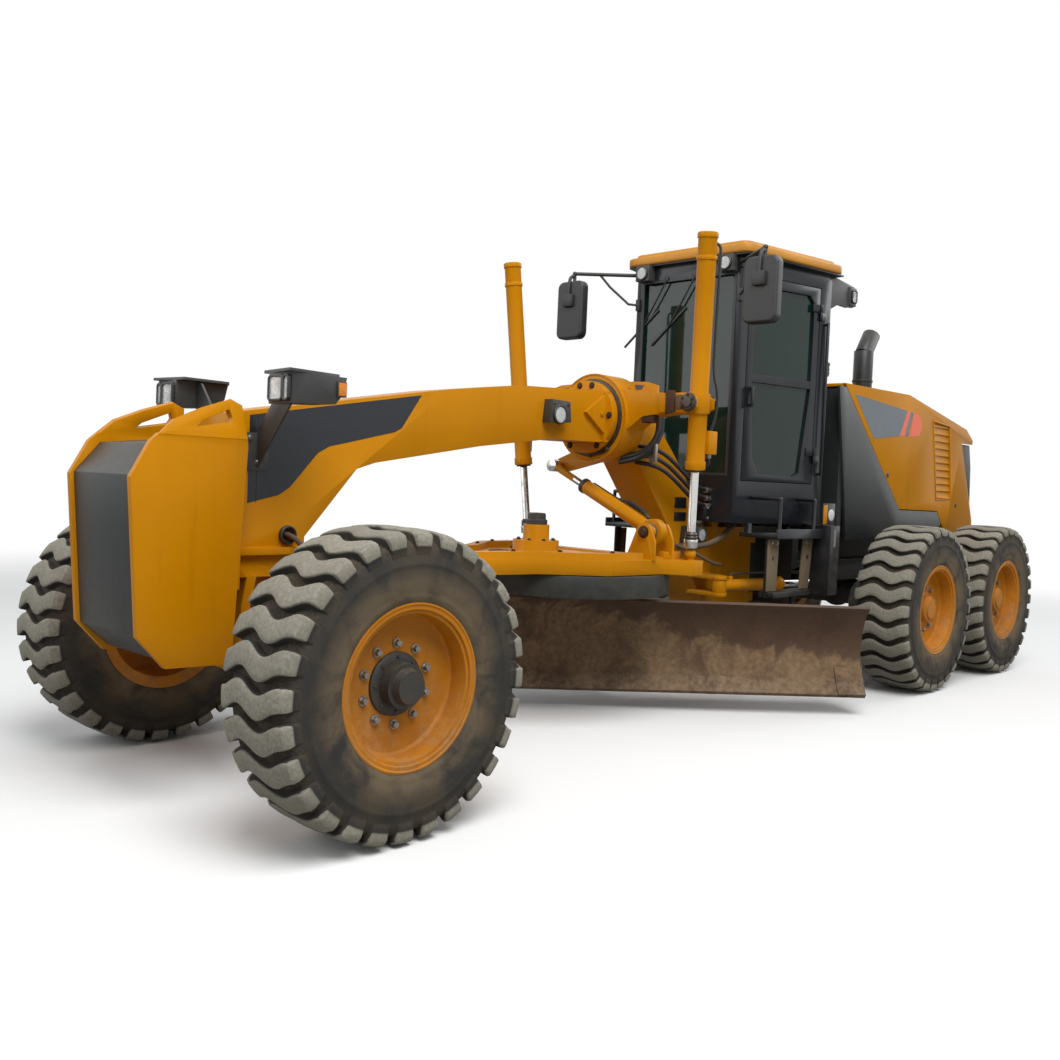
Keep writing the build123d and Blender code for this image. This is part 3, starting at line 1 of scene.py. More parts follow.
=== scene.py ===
"""Dresses the motor grader: paint and dust, lugged tyres, glass, hoses, lamps and trim over its frame."""

from __future__ import annotations

import json
import logging
import math
from dataclasses import dataclass, field
from enum import Enum
from typing import Dict, List, Optional, Sequence, Tuple, Union

import bmesh
import bpy
from mathutils import Matrix, Vector, noise

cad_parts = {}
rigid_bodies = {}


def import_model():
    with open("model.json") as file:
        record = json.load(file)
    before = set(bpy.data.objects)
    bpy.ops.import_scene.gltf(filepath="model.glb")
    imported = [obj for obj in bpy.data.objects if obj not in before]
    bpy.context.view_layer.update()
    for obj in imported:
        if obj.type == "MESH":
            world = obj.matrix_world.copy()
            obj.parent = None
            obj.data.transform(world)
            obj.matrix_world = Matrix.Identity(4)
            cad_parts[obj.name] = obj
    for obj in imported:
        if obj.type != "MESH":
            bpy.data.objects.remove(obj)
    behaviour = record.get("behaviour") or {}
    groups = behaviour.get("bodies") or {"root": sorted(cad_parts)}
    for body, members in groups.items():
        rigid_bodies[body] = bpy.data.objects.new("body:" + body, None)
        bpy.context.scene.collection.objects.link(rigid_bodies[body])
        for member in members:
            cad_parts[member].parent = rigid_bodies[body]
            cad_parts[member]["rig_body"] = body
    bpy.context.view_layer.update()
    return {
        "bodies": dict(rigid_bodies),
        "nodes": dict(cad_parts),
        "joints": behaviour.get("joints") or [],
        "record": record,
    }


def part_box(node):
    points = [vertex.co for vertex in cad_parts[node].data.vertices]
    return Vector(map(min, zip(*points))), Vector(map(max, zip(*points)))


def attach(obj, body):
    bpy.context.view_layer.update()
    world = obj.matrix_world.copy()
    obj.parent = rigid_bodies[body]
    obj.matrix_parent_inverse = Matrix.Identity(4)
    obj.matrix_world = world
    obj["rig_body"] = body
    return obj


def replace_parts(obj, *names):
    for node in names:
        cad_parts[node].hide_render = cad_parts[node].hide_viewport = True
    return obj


log = logging.getLogger("grader")

Rgb = Tuple[float, float, float]
Point = Tuple[float, float, float]
Flat = Tuple[float, float]
SIDES: Dict[int, str] = {1: "left", -1: "right"}
UP, LEFT, AHEAD = Vector((0, 0, 1)), Vector((0, 1, 0)), Vector((1, 0, 0))
# Faces that meet at less than this many degrees are smoothed: on flat, turned, curved and uneven pieces.
FLAT, TURNED, CURVED, UNEVEN = 34.0, 30.0, 60.0, 80.0


class Finish(Enum):
    """Every finish on the machine."""

    YELLOW = "yellow_paint"
    ROOF = "roof_paint"
    RIM = "rim_paint"
    CAB_BLACK = "cab_black"
    CHARCOAL = "charcoal_panel"
    DARK_STEEL = "dusty_dark_steel"
    SLATE = "slate_film"
    SMOKE = "smoke_film"
    STRIPE = "orange_film"
    TYRE = "dusty_tyre"
    BLADE = "scoured_blade"
    CHROME = "hard_chrome"
    BARE_STEEL = "bare_steel"
    HOSE = "black_hose"
    BROWN_HOSE = "muddy_hose"
    GLASS = "tinted_glass"
    LENS = "lamp_lens"
    REFLECTOR = "lamp_reflector"
    AMBER = "amber_lens"
    RED = "red_lens"
    WHITE = "white_reflector"
    PLASTIC = "moulded_black"
    GREASE = "old_grease"
    STRAP = "dusty_strap"
    IRON = "engine_iron"
    CLOTH = "chair_cloth"
    SOIL = "caked_soil"
    RUST = "rusty_band"
    LAMP_GREY = "lamp_housing"
    HUB = "hub_black"
    MIRROR = "mirror_glass"


class Signal:
    """A shader socket that takes part in Python expressions."""

    def __init__(self, recipe: "Recipe", socket: bpy.types.NodeSocket) -> None:
        """Wraps a socket.

        Args:
            recipe: the material that the socket belongs to.
            socket: the output socket.
        """
        self.recipe = recipe
        self.socket = socket

    def _maths(self, operation: str, *values: Union["Signal", float], clamp: bool = False) -> "Signal":
        """One Math node on the given values."""
        settings = {"operation": operation, "use_clamp": clamp}
        return self.recipe.node("ShaderNodeMath", settings, dict(enumerate(values)))

    def __add__(self, other: Union["Signal", float]) -> "Signal":
        """The sum."""
        return self._maths("ADD", self, other)

    __radd__ = __add__

    def __sub__(self, other: Union["Signal", float]) -> "Signal":
        """The difference."""
        return self._maths("SUBTRACT", self, other)

    def __rsub__(self, other: float) -> "Signal":
        """The difference from a number."""
        return self._maths("SUBTRACT", other, self)

    def __mul__(self, other: Union["Signal", float]) -> "Signal":
        """The product."""
        return self._maths("MULTIPLY", self, other)

    __rmul__ = __mul__

    def capped(self) -> "Signal":
        """The value held between 0 and 1."""
        return self._maths("MULTIPLY", self, 1.0, clamp=True)

    def larger(self, other: Union["Signal", float]) -> "Signal":
        """The larger of two values."""
        return self._maths("MAXIMUM", self, other)

    def ramp(self, low: float, high: float) -> "Signal":
        """A smooth step.

        Args:
            low: the value that becomes 0.
            high: the value that becomes 1.

        Returns:
            The step as a signal from 0 to 1.
        """
        settings = {"interpolation_type": "SMOOTHSTEP", "clamp": True}
        return self.recipe.node("ShaderNodeMapRange", settings, {0: self, 1: low, 2: high, 3: 0.0, 4: 1.0})


class Recipe:
    """A material and the nodes that make it."""

    def __init__(self, name: str) -> None:
        """Starts a material with a principled shader.

        Args:
            name: the material's name.
        """
        self.material = bpy.data.materials.new(name)
        self.material.use_nodes = True
        self.tree = self.material.node_tree
        self.tree.nodes.clear()
        self.output = self.tree.nodes.new("ShaderNodeOutputMaterial")
        self.shader = self.tree.nodes.new("ShaderNodeBsdfPrincipled")
        self.tree.links.new(self.shader.outputs[0], self.output.inputs[0])

    def node(self, kind: str, settings: Optional[dict] = None, sockets: Optional[dict] = None,
             output: Union[int, str] = 0) -> Signal:
        """Adds a node.

        Args:
            kind: the node's type.
            settings: its properties, which are set first.
            sockets: values or signals for its inputs, by number or name.
            output: which output to return.

        Returns:
            The chosen output.
        """
        item = self.tree.nodes.new(kind)
        for name, value in (settings or {}).items():
            setattr(item, name, value)
        for key, value in (sockets or {}).items():
            self.feed(item.inputs[key], value)
        return Signal(self, item.outputs[output])

    def feed(self, socket: bpy.types.NodeSocket, value: Union[Signal, float, Sequence[float]]) -> None:
        """Links a signal to a socket or sets its value.

        Args:
            socket: the input socket.
            value: a signal, a number or a vector.
        """
        if isinstance(value, Signal):
            self.tree.links.new(value.socket, socket)
        elif isinstance(value, (tuple, list)) and socket.type == "RGBA":
            socket.default_value = (*value, 1.0) if len(value) == 3 else value
        else:
            socket.default_value = value

    def set(self, **values: Union[Signal, float, Sequence[float]]) -> None:
        """Sets the shader's sockets, whose names are written with underscores.

        Args:
            values: a value or a signal for each socket.
        """
        for name, value in values.items():
            self.feed(self.shader.inputs[name.replace("_", " ")], value)

    def place(self, stretch: Point = (1.0, 1.0, 1.0)) -> Signal:
        """The piece's own coordinates in metres, scaled along each axis."""
        spot = self.node("ShaderNodeTexCoord", output="Object")
        return self.node("ShaderNodeMapping", sockets={"Vector": spot, "Scale": stretch})

    def noise(self, place: Signal, scale: float, detail: float = 4.0, roughness: float = 0.55,
              distortion: float = 0.0) -> Signal:
        """Cloudy noise from 0 to 1 at a scale in cycles per metre."""
        sockets = {"Vector": place, "Scale": scale, "Detail": detail, "Roughness": roughness,
                   "Distortion": distortion}
        return self.node("ShaderNodeTexNoise", sockets=sockets)

    def axis(self, name: str) -> Signal:
        """One coordinate of the piece, in metres."""
        spot = self.node("ShaderNodeTexCoord", output="Object")
        return self.node("ShaderNodeSeparateXYZ", sockets={0: spot}, output=name)

    def facing(self, name: str) -> Signal:
        """How far a face looks along one axis, from -1 to 1."""
        normal = self.node("ShaderNodeNewGeometry", output="Normal")
        return self.node("ShaderNodeSeparateXYZ", sockets={0: normal}, output=name)

    def field(self, name: str) -> Signal:
        """A number stored on the mesh."""
        return self.node("ShaderNodeAttribute", {"attribute_name": name}, output="Fac")

    def blend(self, share: Union[Signal, float], first: Union[Signal, Rgb], second: Union[Signal, Rgb]) -> Signal:
        """Mixes two colours.

        Args:
            share: how much of the second colour shows.
            first: the colour at 0.
            second: the colour at 1.

        Returns:
            The mixed colour.
        """
        return self.node("ShaderNodeMix", {"data_type": "RGBA"}, {0: share, 6: first, 7: second}, 2)

    def bump(self, height: Signal, depth: float, distance: float = 0.01) -> None:
        """Feeds the shader's normal from a height.

        Args:
            height: the signal that is high or low.
            depth: the bump's strength.
            distance: how many metres the height's 1 stands for.
        """
        sockets = {"Strength": depth, "Distance": distance, "Height": height}
        self.set(Normal=self.node("ShaderNodeBump", sockets=sockets))


def scaled(colour: Rgb, factor: float) -> Rgb:
    """A colour made lighter or darker."""
    return tuple(min(1.0, channel * factor) for channel in colour)


DUST: Rgb = (0.27, 0.22, 0.15)
MUD: Rgb = (0.13, 0.085, 0.045)


@dataclass(frozen=True)
class Coat:
    """A coat of paint, film or plastic with the dust and dirt on it."""

    colour: Rgb
    roughness: float = 0.36
    metallic: float = 0.0
    drift: float = 0.14
    dust: float = 0.35
    film: float = 0.05
    splash: float = 0.0
    splash_top: float = 1.2
    streaks: float = 0.10
    chips: float = 0.0
    chip_colour: Rgb = (0.05, 0.045, 0.04)
    grain: float = 0.05
    grain_scale: float = 160.0
    gloss: float = 0.0
    shine: float = 0.5

    def brew(self, name: str) -> bpy.types.Material:
        """Makes the material.

        Args:
            name: the material's name.

        Returns:
            The finished material.
        """
        mix = Recipe(name)
        place = mix.place()
        broad = mix.noise(place, 0.8, 4.0)
        fine = mix.noise(place, 24.0, 6.0, 0.65)
        patch = mix.noise(place, 4.5, 5.0, 0.6, 0.4)
        paint = mix.blend(broad.ramp(0.3, 0.7), scaled(self.colour, 1 - self.drift),
                          scaled(self.colour, 1 + self.drift))
        runs = mix.noise(mix.place((14.0, 14.0, 0.9)), 1.0, 5.0, 0.6)
        upright = 1.0 - mix.facing("Z").ramp(0.3, 0.8)
        stain = (runs.ramp(0.55, 0.82) * upright * self.streaks).capped()
        paint = mix.blend(stain, paint, scaled(self.colour, 0.35))
        if self.chips:
            spots = mix.noise(place, 52.0, 3.0, 0.5).ramp(0.74 - 0.05 * self.chips, 0.78)
            spots = spots * patch.ramp(0.45, 0.7)
            paint = mix.blend(spots.capped(), paint, self.chip_colour)
        settled = mix.facing("Z").ramp(0.2, 0.95) * patch.ramp(0.2, 0.75) * self.dust
        veil = fine.ramp(0.35, 0.8) * self.film
        dirt = settled.larger(veil)
        if self.splash:
            low = (1.0 - mix.axis("Z").ramp(0.25, self.splash_top)) * patch.ramp(0.25, 0.65) * self.splash
            dirt = dirt.larger(low)
        paint = mix.blend(dirt.capped(), paint, mix.blend(fine.ramp(0.3, 0.7), DUST, MUD))
        rough = dirt * 0.45 + fine * 0.12 + (self.roughness - 0.06)
        mix.set(Base_Color=paint, Roughness=rough.capped(), Metallic=self.metallic,
                Specular_IOR_Level=self.shine)
        if self.gloss:
            mix.set(Coat_Weight=(1.0 - dirt.capped()) * self.gloss, Coat_Roughness=0.12)
        skin = mix.noise(place, self.grain_scale, 3.0, 0.6) * 0.35 + patch * 0.65 + dirt * 0.2
        mix.bump(skin, self.grain, 0.012)
        return mix.material


@dataclass(frozen=True)
class TyreRubber:
    """Tyre rubber, dusty on the lugs and muddy on the wall."""

    rubber: Rgb = (0.030, 0.029, 0.027)
    worn: Rgb = (0.320, 0.298, 0.240)
    soil: Rgb = (0.150, 0.112, 0.068)

    def brew(self, name: str) -> bpy.types.Material:
        """Makes the material. The mesh stores how far out each point is and how high on its lug."""
        mix = Recipe(name)
        place = mix.place()
        cloud = mix.noise(place, 5.0, 6.0, 0.62, 0.3)
        fine = mix.noise(place, 60.0, 6.0, 0.7)
        speck = mix.noise(place, 190.0, 4.0, 0.6)
        rise, reach, tone = mix.field("rise"), mix.field("reach"), mix.field("tone")
        tread = rise.ramp(0.72, 0.97)
        wall = 1.0 - reach.ramp(0.80, 0.90)
        colour = mix.blend((cloud.ramp(0.40, 0.70) * 0.45).capped(), self.rubber, scaled(self.soil, 0.5))
        band = reach.ramp(0.50, 0.56) * (1.0 - reach.ramp(0.58, 0.80))
        lower = (band * 0.90 + 0.10) * cloud.ramp(0.26, 0.60) * wall
        colour = mix.blend(lower.capped(), colour, self.soil)
        bed = (1.0 - rise.ramp(0.05, 0.5)) * (1.0 - wall) * fine.ramp(0.3, 0.7) * 0.6
        colour = mix.blend(bed.capped(), colour, scaled(self.soil, 0.8))
        grey = mix.blend(fine.ramp(0.3, 0.75), scaled(self.worn, 0.68), scaled(self.worn, 1.18))
        grey = mix.blend((tone * 0.5).capped(), grey, scaled(self.worn, 0.62))
        colour = mix.blend((tread * (cloud.ramp(0.1, 0.5) * 0.25 + 0.72)).capped(), colour, grey)
        mix.set(Base_Color=colour, Roughness=(fine * 0.15 + 0.78).capped(), Specular_IOR_Level=0.28)
        mix.bump(cloud * 0.5 + fine * 0.35 + speck * 0.25, 0.45, 0.006)
        return mix.material


@dataclass(frozen=True)
class BladeSteel:
    """Scoured blade steel under dried and wet soil."""

    dry: Rgb = (0.205, 0.128, 0.066)
    damp: Rgb = (0.060, 0.027, 0.012)
    rust: Rgb = (0.125, 0.045, 0.015)
    steel: Rgb = (0.205, 0.165, 0.120)

    def brew(self, name: str) -> bpy.types.Material:
        """Makes the material. The mesh stores how far along the blade and how high each point is."""
        mix = Recipe(name)
        place = mix.place()
        cloud = mix.noise(place, 3.2, 7.0, 0.62, 0.6)
        fine = mix.noise(place, 26.0, 7.0, 0.7)
        speck = mix.noise(place, 120.0, 4.0, 0.6)
        runs = mix.noise(mix.place((9.0, 9.0, 1.1)), 1.0, 5.0, 0.6, 0.5)
        along, high = mix.field("along"), mix.field("high")
        colour = mix.blend(fine.ramp(0.3, 0.72), scaled(self.dry, 0.72), scaled(self.dry, 1.25))
        colour = mix.blend((cloud.ramp(0.44, 0.66) * 0.75).capped(), colour, self.damp)
        wet = (high + (along * 1.0) + (cloud - 0.5) * 0.9).ramp(1.24, 1.36)
        colour = mix.blend((wet * 0.85).capped(), colour, self.damp)
        colour = mix.blend((runs.ramp(0.55, 0.75) * 0.55).capped(), colour, self.rust)
        worn = (1.0 - high.ramp(0.10, 0.24)) * fine.ramp(0.35, 0.7) * 0.4
        colour = mix.blend(worn.capped(), colour, self.steel)
        mix.set(Base_Color=colour, Roughness=(0.86 - worn * 0.35 - wet * 0.22).capped())
        mix.bump(cloud * 0.6 + fine * 0.45 + speck * 0.12, 0.5, 0.008)
        return mix.material


@dataclass(frozen=True)
class Pane:
    """A see-through pane with a veil of dust."""

    colour: Rgb = (0.006, 0.022, 0.017)
    cover: float = 0.90
    dust: float = 0.05

    def brew(self, name: str) -> bpy.types.Material:
        """Makes the material."""
        mix = Recipe(name)
        place = mix.place()
        cloud = mix.noise(place, 2.4, 6.0, 0.6, 0.8)
        fine = mix.noise(place, 30.0, 5.0, 0.65)
        veil = cloud.ramp(0.45, 0.8) * fine.ramp(0.3, 0.8) * self.dust
        colour = mix.blend(veil.capped(), self.colour, (0.22, 0.22, 0.18))
        mix.set(Base_Color=colour, Roughness=(veil * 0.6 + 0.04).capped(), Alpha=(veil + self.cover).capped())
        mix.set(Coat_Weight=0.25, Coat_Roughness=0.03, Specular_IOR_Level=0.3)
        return mix.material


@dataclass(frozen=True)
class Metal:
    """Bare metal with smears."""

    colour: Rgb = (0.62, 0.62, 0.60)
    roughness: float = 0.16
    smear: Rgb = (0.05, 0.04, 0.03)
    dirt: float = 0.35

    def brew(self, name: str) -> bpy.types.Material:
        """Makes the material."""
        mix = Recipe(name)
        place = mix.place((1.0, 1.0, 0.25))
        cloud = mix.noise(place, 14.0, 6.0, 0.65, 0.5)
        fine = mix.noise(mix.place(), 120.0, 3.0, 0.5)
        film = cloud.ramp(0.5, 0.75) * self.dirt
        mix.set(Base_Color=mix.blend(film.capped(), self.colour, self.smear), Metallic=(1.0 - film * 0.8).capped(),
                Roughness=(film * 0.7 + fine * 0.08 + self.roughness).capped())
        mix.bump(fine, 0.04, 0.002)
        return mix.material


@dataclass(frozen=True)
class Ribbed:
    """A moulded lamp lens or reflector with fine ribs."""

    colour: Rgb
    alpha: float = 1.0
    metallic: float = 0.0
    roughness: float = 0.08
    pitch: float = 90.0

    def brew(self, name: str) -> bpy.types.Material:
        """Makes the material."""
        mix = Recipe(name)
        ribs = mix.node("ShaderNodeTexWave", {"bands_direction": "Z"}, {"Vector": mix.place(), "Scale": self.pitch})
        haze = mix.noise(mix.place(), 34.0, 4.0)
        colour = mix.blend((haze.ramp(0.45, 0.8) * 0.5).capped(), self.colour, scaled(self.colour, 0.55))
        mix.set(Base_Color=colour, Metallic=self.metallic, Roughness=(haze * 0.18 + self.roughness).capped(),
                Alpha=self.alpha)
        mix.bump(ribs, 0.35, 0.003)
        return mix.material


FINISHES: Dict[Finish, Tuple[str, Union[Coat, TyreRubber, BladeSteel, Pane, Metal, Ribbed]]] = {
    Finish.YELLOW: ("yellow_paint", Coat((0.580, 0.226, 0.0012), 0.34, drift=0.09, dust=0.18, film=0.015,
        splash=0.20, splash_top=1.1, streaks=0.22, chips=0.5, gloss=0.05, shine=0.10)),
    Finish.ROOF: ("yellow_paint", Coat((0.60, 0.265, 0.030), 0.42, dust=0.28, streaks=0.1, shine=0.3)),
    Finish.RIM: ("yellow_paint", Coat((0.530, 0.185, 0.0015), 0.40, drift=0.18, dust=0.30, film=0.08, splash=0.45,
        splash_top=1.2, streaks=0.25, chips=0.7, chip_colour=(0.09, 0.045, 0.018), shine=0.22)),
    Finish.CAB_BLACK: ("black_paint", Coat((0.009, 0.011, 0.015), 0.30, dust=0.16, film=0.02, splash=0.22,
        splash_top=1.5, streaks=0.05, gloss=0.15, shine=0.35)),
    Finish.CHARCOAL: ("black_paint", Coat((0.024, 0.028, 0.028), 0.38, drift=0.2, dust=0.30, film=0.04, splash=0.3,
        splash_top=1.3, streaks=0.12, shine=0.4)),
    Finish.LAMP_GREY: ("black_plastic", Coat((0.045, 0.047, 0.046), 0.44, drift=0.15, dust=0.35, film=0.06,
        streaks=0.08, grain=0.14, grain_scale=320.0)),
    Finish.DARK_STEEL: ("dark_steel", Coat((0.026, 0.031, 0.030), 0.46, drift=0.25, dust=0.42, film=0.10, splash=0.6,
        splash_top=1.2, streaks=0.2, chips=0.4, chip_colour=(0.09, 0.045, 0.022), shine=0.35)),
    Finish.SOIL: ("worn_steel", Coat((0.125, 0.082, 0.042), 0.92, drift=0.25, dust=0.5, film=0.3, streaks=0.0,
        grain=0.8, grain_scale=70.0, shine=0.2)),
    Finish.RUST: ("dark_steel", Coat((0.060, 0.026, 0.012), 0.78, drift=0.4, dust=0.35, film=0.3, streaks=0.3,
        chips=0.8, grain=0.5, grain_scale=80.0, shine=0.2)),
    Finish.SLATE: ("black_paint", Coat((0.013, 0.017, 0.023), 0.34, drift=0.1, dust=0.12, film=0.04, streaks=0.04,
        grain=0.02)),
    Finish.SMOKE: ("black_paint", Coat((0.100, 0.125, 0.145), 0.26, drift=0.14, dust=0.1, film=0.04, streaks=0.06,
        grain=0.02)),
    Finish.STRIPE: ("yellow_paint", Coat((0.86, 0.115, 0.030), 0.3, drift=0.05, dust=0.1, film=0.03, streaks=0.04,
        grain=0.02)),
    Finish.TYRE: ("tyre", TyreRubber()),
    Finish.BLADE: ("worn_steel", BladeSteel()),
    Finish.CHROME: ("chrome_rod", Metal()),
    Finish.BARE_STEEL: ("worn_steel", Metal((0.33, 0.31, 0.28), 0.38, dirt=0.6)),
    Finish.HOSE: ("black_plastic", Coat((0.012, 0.012, 0.012), 0.42, dust=0.30, film=0.12, streaks=0.0, grain=0.12,
        grain_scale=500.0)),
    Finish.BROWN_HOSE: ("black_plastic", Coat((0.10, 0.065, 0.035), 0.7, dust=0.4, film=0.3, streaks=0.0, grain=0.15,
        grain_scale=420.0)),
    Finish.GLASS: ("cab_glass", Pane()),
    Finish.LENS: ("cab_glass", Ribbed((0.75, 0.78, 0.78), alpha=0.35)),
    Finish.REFLECTOR: ("chrome_rod", Ribbed((0.80, 0.80, 0.78), metallic=0.9, roughness=0.14, pitch=60.0)),
    Finish.AMBER: ("cab_glass", Ribbed((0.80, 0.22, 0.01), pitch=130.0)),
    Finish.RED: ("cab_glass", Ribbed((0.50, 0.012, 0.010), pitch=130.0)),
    Finish.WHITE: ("black_plastic", Coat((0.72, 0.72, 0.70), 0.35, dust=0.1, film=0.08, streaks=0.05)),
    Finish.PLASTIC: ("black_plastic", Coat((0.022, 0.024, 0.025), 0.48, dust=0.28, film=0.06, streaks=0.03,
        grain=0.16, grain_scale=380.0)),
    Finish.GREASE: ("dark_steel", Coat((0.020, 0.013, 0.008), 0.30, dust=0.3, film=0.25, streaks=0.0, grain=0.6,
        grain_scale=60.0)),
    Finish.STRAP: ("black_plastic", Coat((0.175, 0.130, 0.075), 0.85, drift=0.2, dust=0.4, film=0.3, streaks=0.2,
        grain=0.25, grain_scale=240.0)),
    Finish.IRON: ("engine_iron", Coat((0.05, 0.052, 0.05), 0.6, dust=0.4, film=0.2, grain=0.3, grain_scale=90.0)),
    Finish.CLOTH: ("seat_cloth", Coat((0.030, 0.032, 0.036), 0.95, dust=0.3, film=0.15, streaks=0.0, grain=0.4,
        grain_scale=700.0)),
    Finish.HUB: ("dark_steel", Coat((0.020, 0.020, 0.019), 0.5, dust=0.4, film=0.2, splash=0.2, grain=0.2)),
    Finish.MIRROR: ("chrome_rod", Metal((0.75, 0.77, 0.78), 0.03, dirt=0.08)),
}


def linked(name: str, data: bpy.types.ID) -> bpy.types.Object:
    """A new object in the scene."""
    thing = bpy.data.objects.new(name, data)
    bpy.context.scene.collection.objects.link(thing)
    return thing


def circle_points(count: int, radius: float, offset: float = 0.0) -> List[Flat]:
    """Points spread evenly on a circle; the offset is a share of one step."""
    angles = (2 * math.pi * (i + offset) / count for i in range(count))
    return [(radius * math.cos(angle), radius * math.sin(angle)) for angle in angles]


class Shape:
    """A mesh in the making."""

    def __init__(self) -> None:
        """Starts with no faces."""
        self.mesh = bmesh.new()

    def verts(self, spots: Sequence[Vector]) -> List[bmesh.types.BMVert]:
        """Adds points."""
        return [self.mesh.verts.new(spot) for spot in spots]

    def band(self, first: Sequence[bmesh.types.BMVert], second: Sequence[bmesh.types.BMVert]) -> None:
        """Joins two closed rows of points with faces; a row of one point makes a fan."""
        count = max(len(first), len(second))
        for i in range(count):
            j = (i + 1) % count
            loop = [first[i % len(first)], first[j % len(first)], second[j % len(second)], second[i % len(second)]]
            unique = list(dict.fromkeys(loop))
            if len(unique) > 2:
                self.mesh.faces.new(unique)

    def block(self, low: Vector, high: Vector) -> "Shape":
        """Adds a box between two corners."""
        corners = self.verts([Vector((x, y, z)) for z in (low.z, high.z) for y in (low.y, high.y)
                              for x in (low.x, high.x)])
        for face in ((0, 2, 3, 1), (4, 5, 7, 6), (0, 1, 5, 4), (2, 6, 7, 3), (0, 4, 6, 2), (1, 3, 7, 5)):
            self.mesh.faces.new([corners[i] for i in face])
        return self

    def prism(self, outline: Sequence[Vector], depth: Vector) -> "Shape":
        """Adds a flat outline drawn out by a vector."""
        near = self.verts(outline)
        far = self.verts([spot + depth for spot in outline])
        self.mesh.faces.new(near)
        self.mesh.faces.new(far[::-1])
        self.band(far, near)
        return self

    def lathe(self, profile: Sequence[Flat], centre: Vector, axis: Vector, segments: int = 48,
              closed: bool = True) -> "Shape":
        """Adds a turned body.

        Args:
            profile: (distance along the axis, radius) points.
            centre: where the axis starts.
            axis: the axis' direction.
            segments: how many steps there are in a turn.
            closed: whether the profile joins its ends into a tube instead of ending on the axis.

        Returns:
            This shape.
        """
        along = axis.normalized()
        side = along.orthogonal().normalized()
        other = along.cross(side)
        turn = [side * u + other * v for u, v in circle_points(segments, 1.0)]
        rings = [self.verts([centre + along * distance + spoke * radius for spoke in (turn if radius else turn[:1])])
                 for distance, radius in profile]
        for first, second in zip(rings, rings[1:] + rings[:1] if closed else rings[1:]):
            self.band(first, second)
        return self

    def bar(self, start: Vector, end: Vector, radius: float, segments: int = 24) -> "Shape":
        """Adds a round bar between two points."""
        length = (end - start).length
        return self.lathe([(0, 0), (0, radius), (length, radius), (length, 0)], start, end - start, segments, False)

    def frame(self, outer: Sequence[Vector], inner: Sequence[Vector], depth: Vector) -> "Shape":
        """Adds a flat frame between two outlines of as many points, drawn out by a vector."""
        near_out, far_out, near_in, far_in = (self.verts([spot + shift for spot in ring])
                                              for ring in (outer, inner) for shift in (Vector(), depth))
        for first, second in ((near_out, near_in), (near_in, far_in), (far_in, far_out), (far_out, near_out)):
            self.band(first, second)
        return self

    def lump(self, centre: Vector, size: Vector, seed: float, rough: float = 0.35) -> "Shape":
        """Adds an uneven lump, as grease or soil leaves.

        Args:
            centre: its middle.
            size: its half sizes.
            seed: which of the uneven forms it takes.
            rough: how uneven it is.

        Returns:
            This shape.
        """
        made = bmesh.ops.create_icosphere(self.mesh, subdivisions=3, radius=1.0)
        for vertex in made["verts"]:
            swell = 1.0 + rough * noise.noise(vertex.co * 1.9 + Vector((seed, seed * 0.7, 0)))
            swell += rough * 0.5 * noise.noise(vertex.co * 5.0 + Vector((0, seed, seed)))
            vertex.co = centre + vertex.co * size * swell
        return self

    def pillow(self, low: Vector, high: Vector, thin: int, channels: int, pull: float = 0.05,
               squareness: int = 7, cuts: int = 13) -> "Shape":
        """Adds a crowned cushion.

        Args:
            low: the box's lowest corner.
            high: its highest corner.
            thin: the axis along which the cushion is thin.
            channels: how many sewn channels cross it.
            pull: how far its sides draw in between the corners.
            squareness: the power of its rounded form; a higher one is squarer.
            cuts: how many times each edge is cut.

        Returns:
            This shape.
        """
        before = len(self.mesh.verts)
        made = bmesh.ops.create_cube(self.mesh, size=2.0)
        edges = list({edge for vertex in made["verts"] for edge in vertex.link_edges})
        bmesh.ops.subdivide_edges(self.mesh, edges=edges, cuts=cuts, use_grid_fill=True)
        self.mesh.verts.ensure_lookup_table()
        first, second = [axis for axis in range(3) if axis != thin]
        half, middle = (high - low) / 2, (high + low) / 2
        for vertex in self.mesh.verts[before:]:
            length = sum(abs(share) ** squareness for share in vertex.co) ** (1 / squareness)
            u, v, w = (vertex.co[axis] / length for axis in (first, second, thin))
            crown = 0.70 + 0.30 * (1 - u ** 4) * (1 - v ** 4)
            for i in range(channels):
                seam = (i + 1) / (channels + 1) * 2 - 1
                crown -= 0.13 * math.exp(-((u - seam) / 0.045) ** 2) * (1 - v ** 6)
            spot = Vector()
            spot[first] = u * (1 - pull * (1 - v * v))
            spot[second] = v * (1 - pull * (1 - u * u))
            spot[thin] = w * crown
            vertex.co = middle + spot * half
        return self

    def moved(self, matrix: Matrix) -> "Shape":
        """Moves all that has been added."""
        bmesh.ops.transform(self.mesh, matrix=matrix, verts=self.mesh.verts)
        return self

    def done(self, name: str = "blank", outward: bool = True) -> bpy.types.Mesh:
        """Ends the shape.

        Args:
            name: the mesh's name.
            outward: whether its faces are turned outwards.

        Returns:
            The plain mesh.
        """
        if outward:
            bmesh.ops.recalc_face_normals(self.mesh, faces=self.mesh.faces)
        mesh = bpy.data.meshes.new(name)
        self.mesh.to_mesh(mesh)
        self.mesh.free()
        return mesh


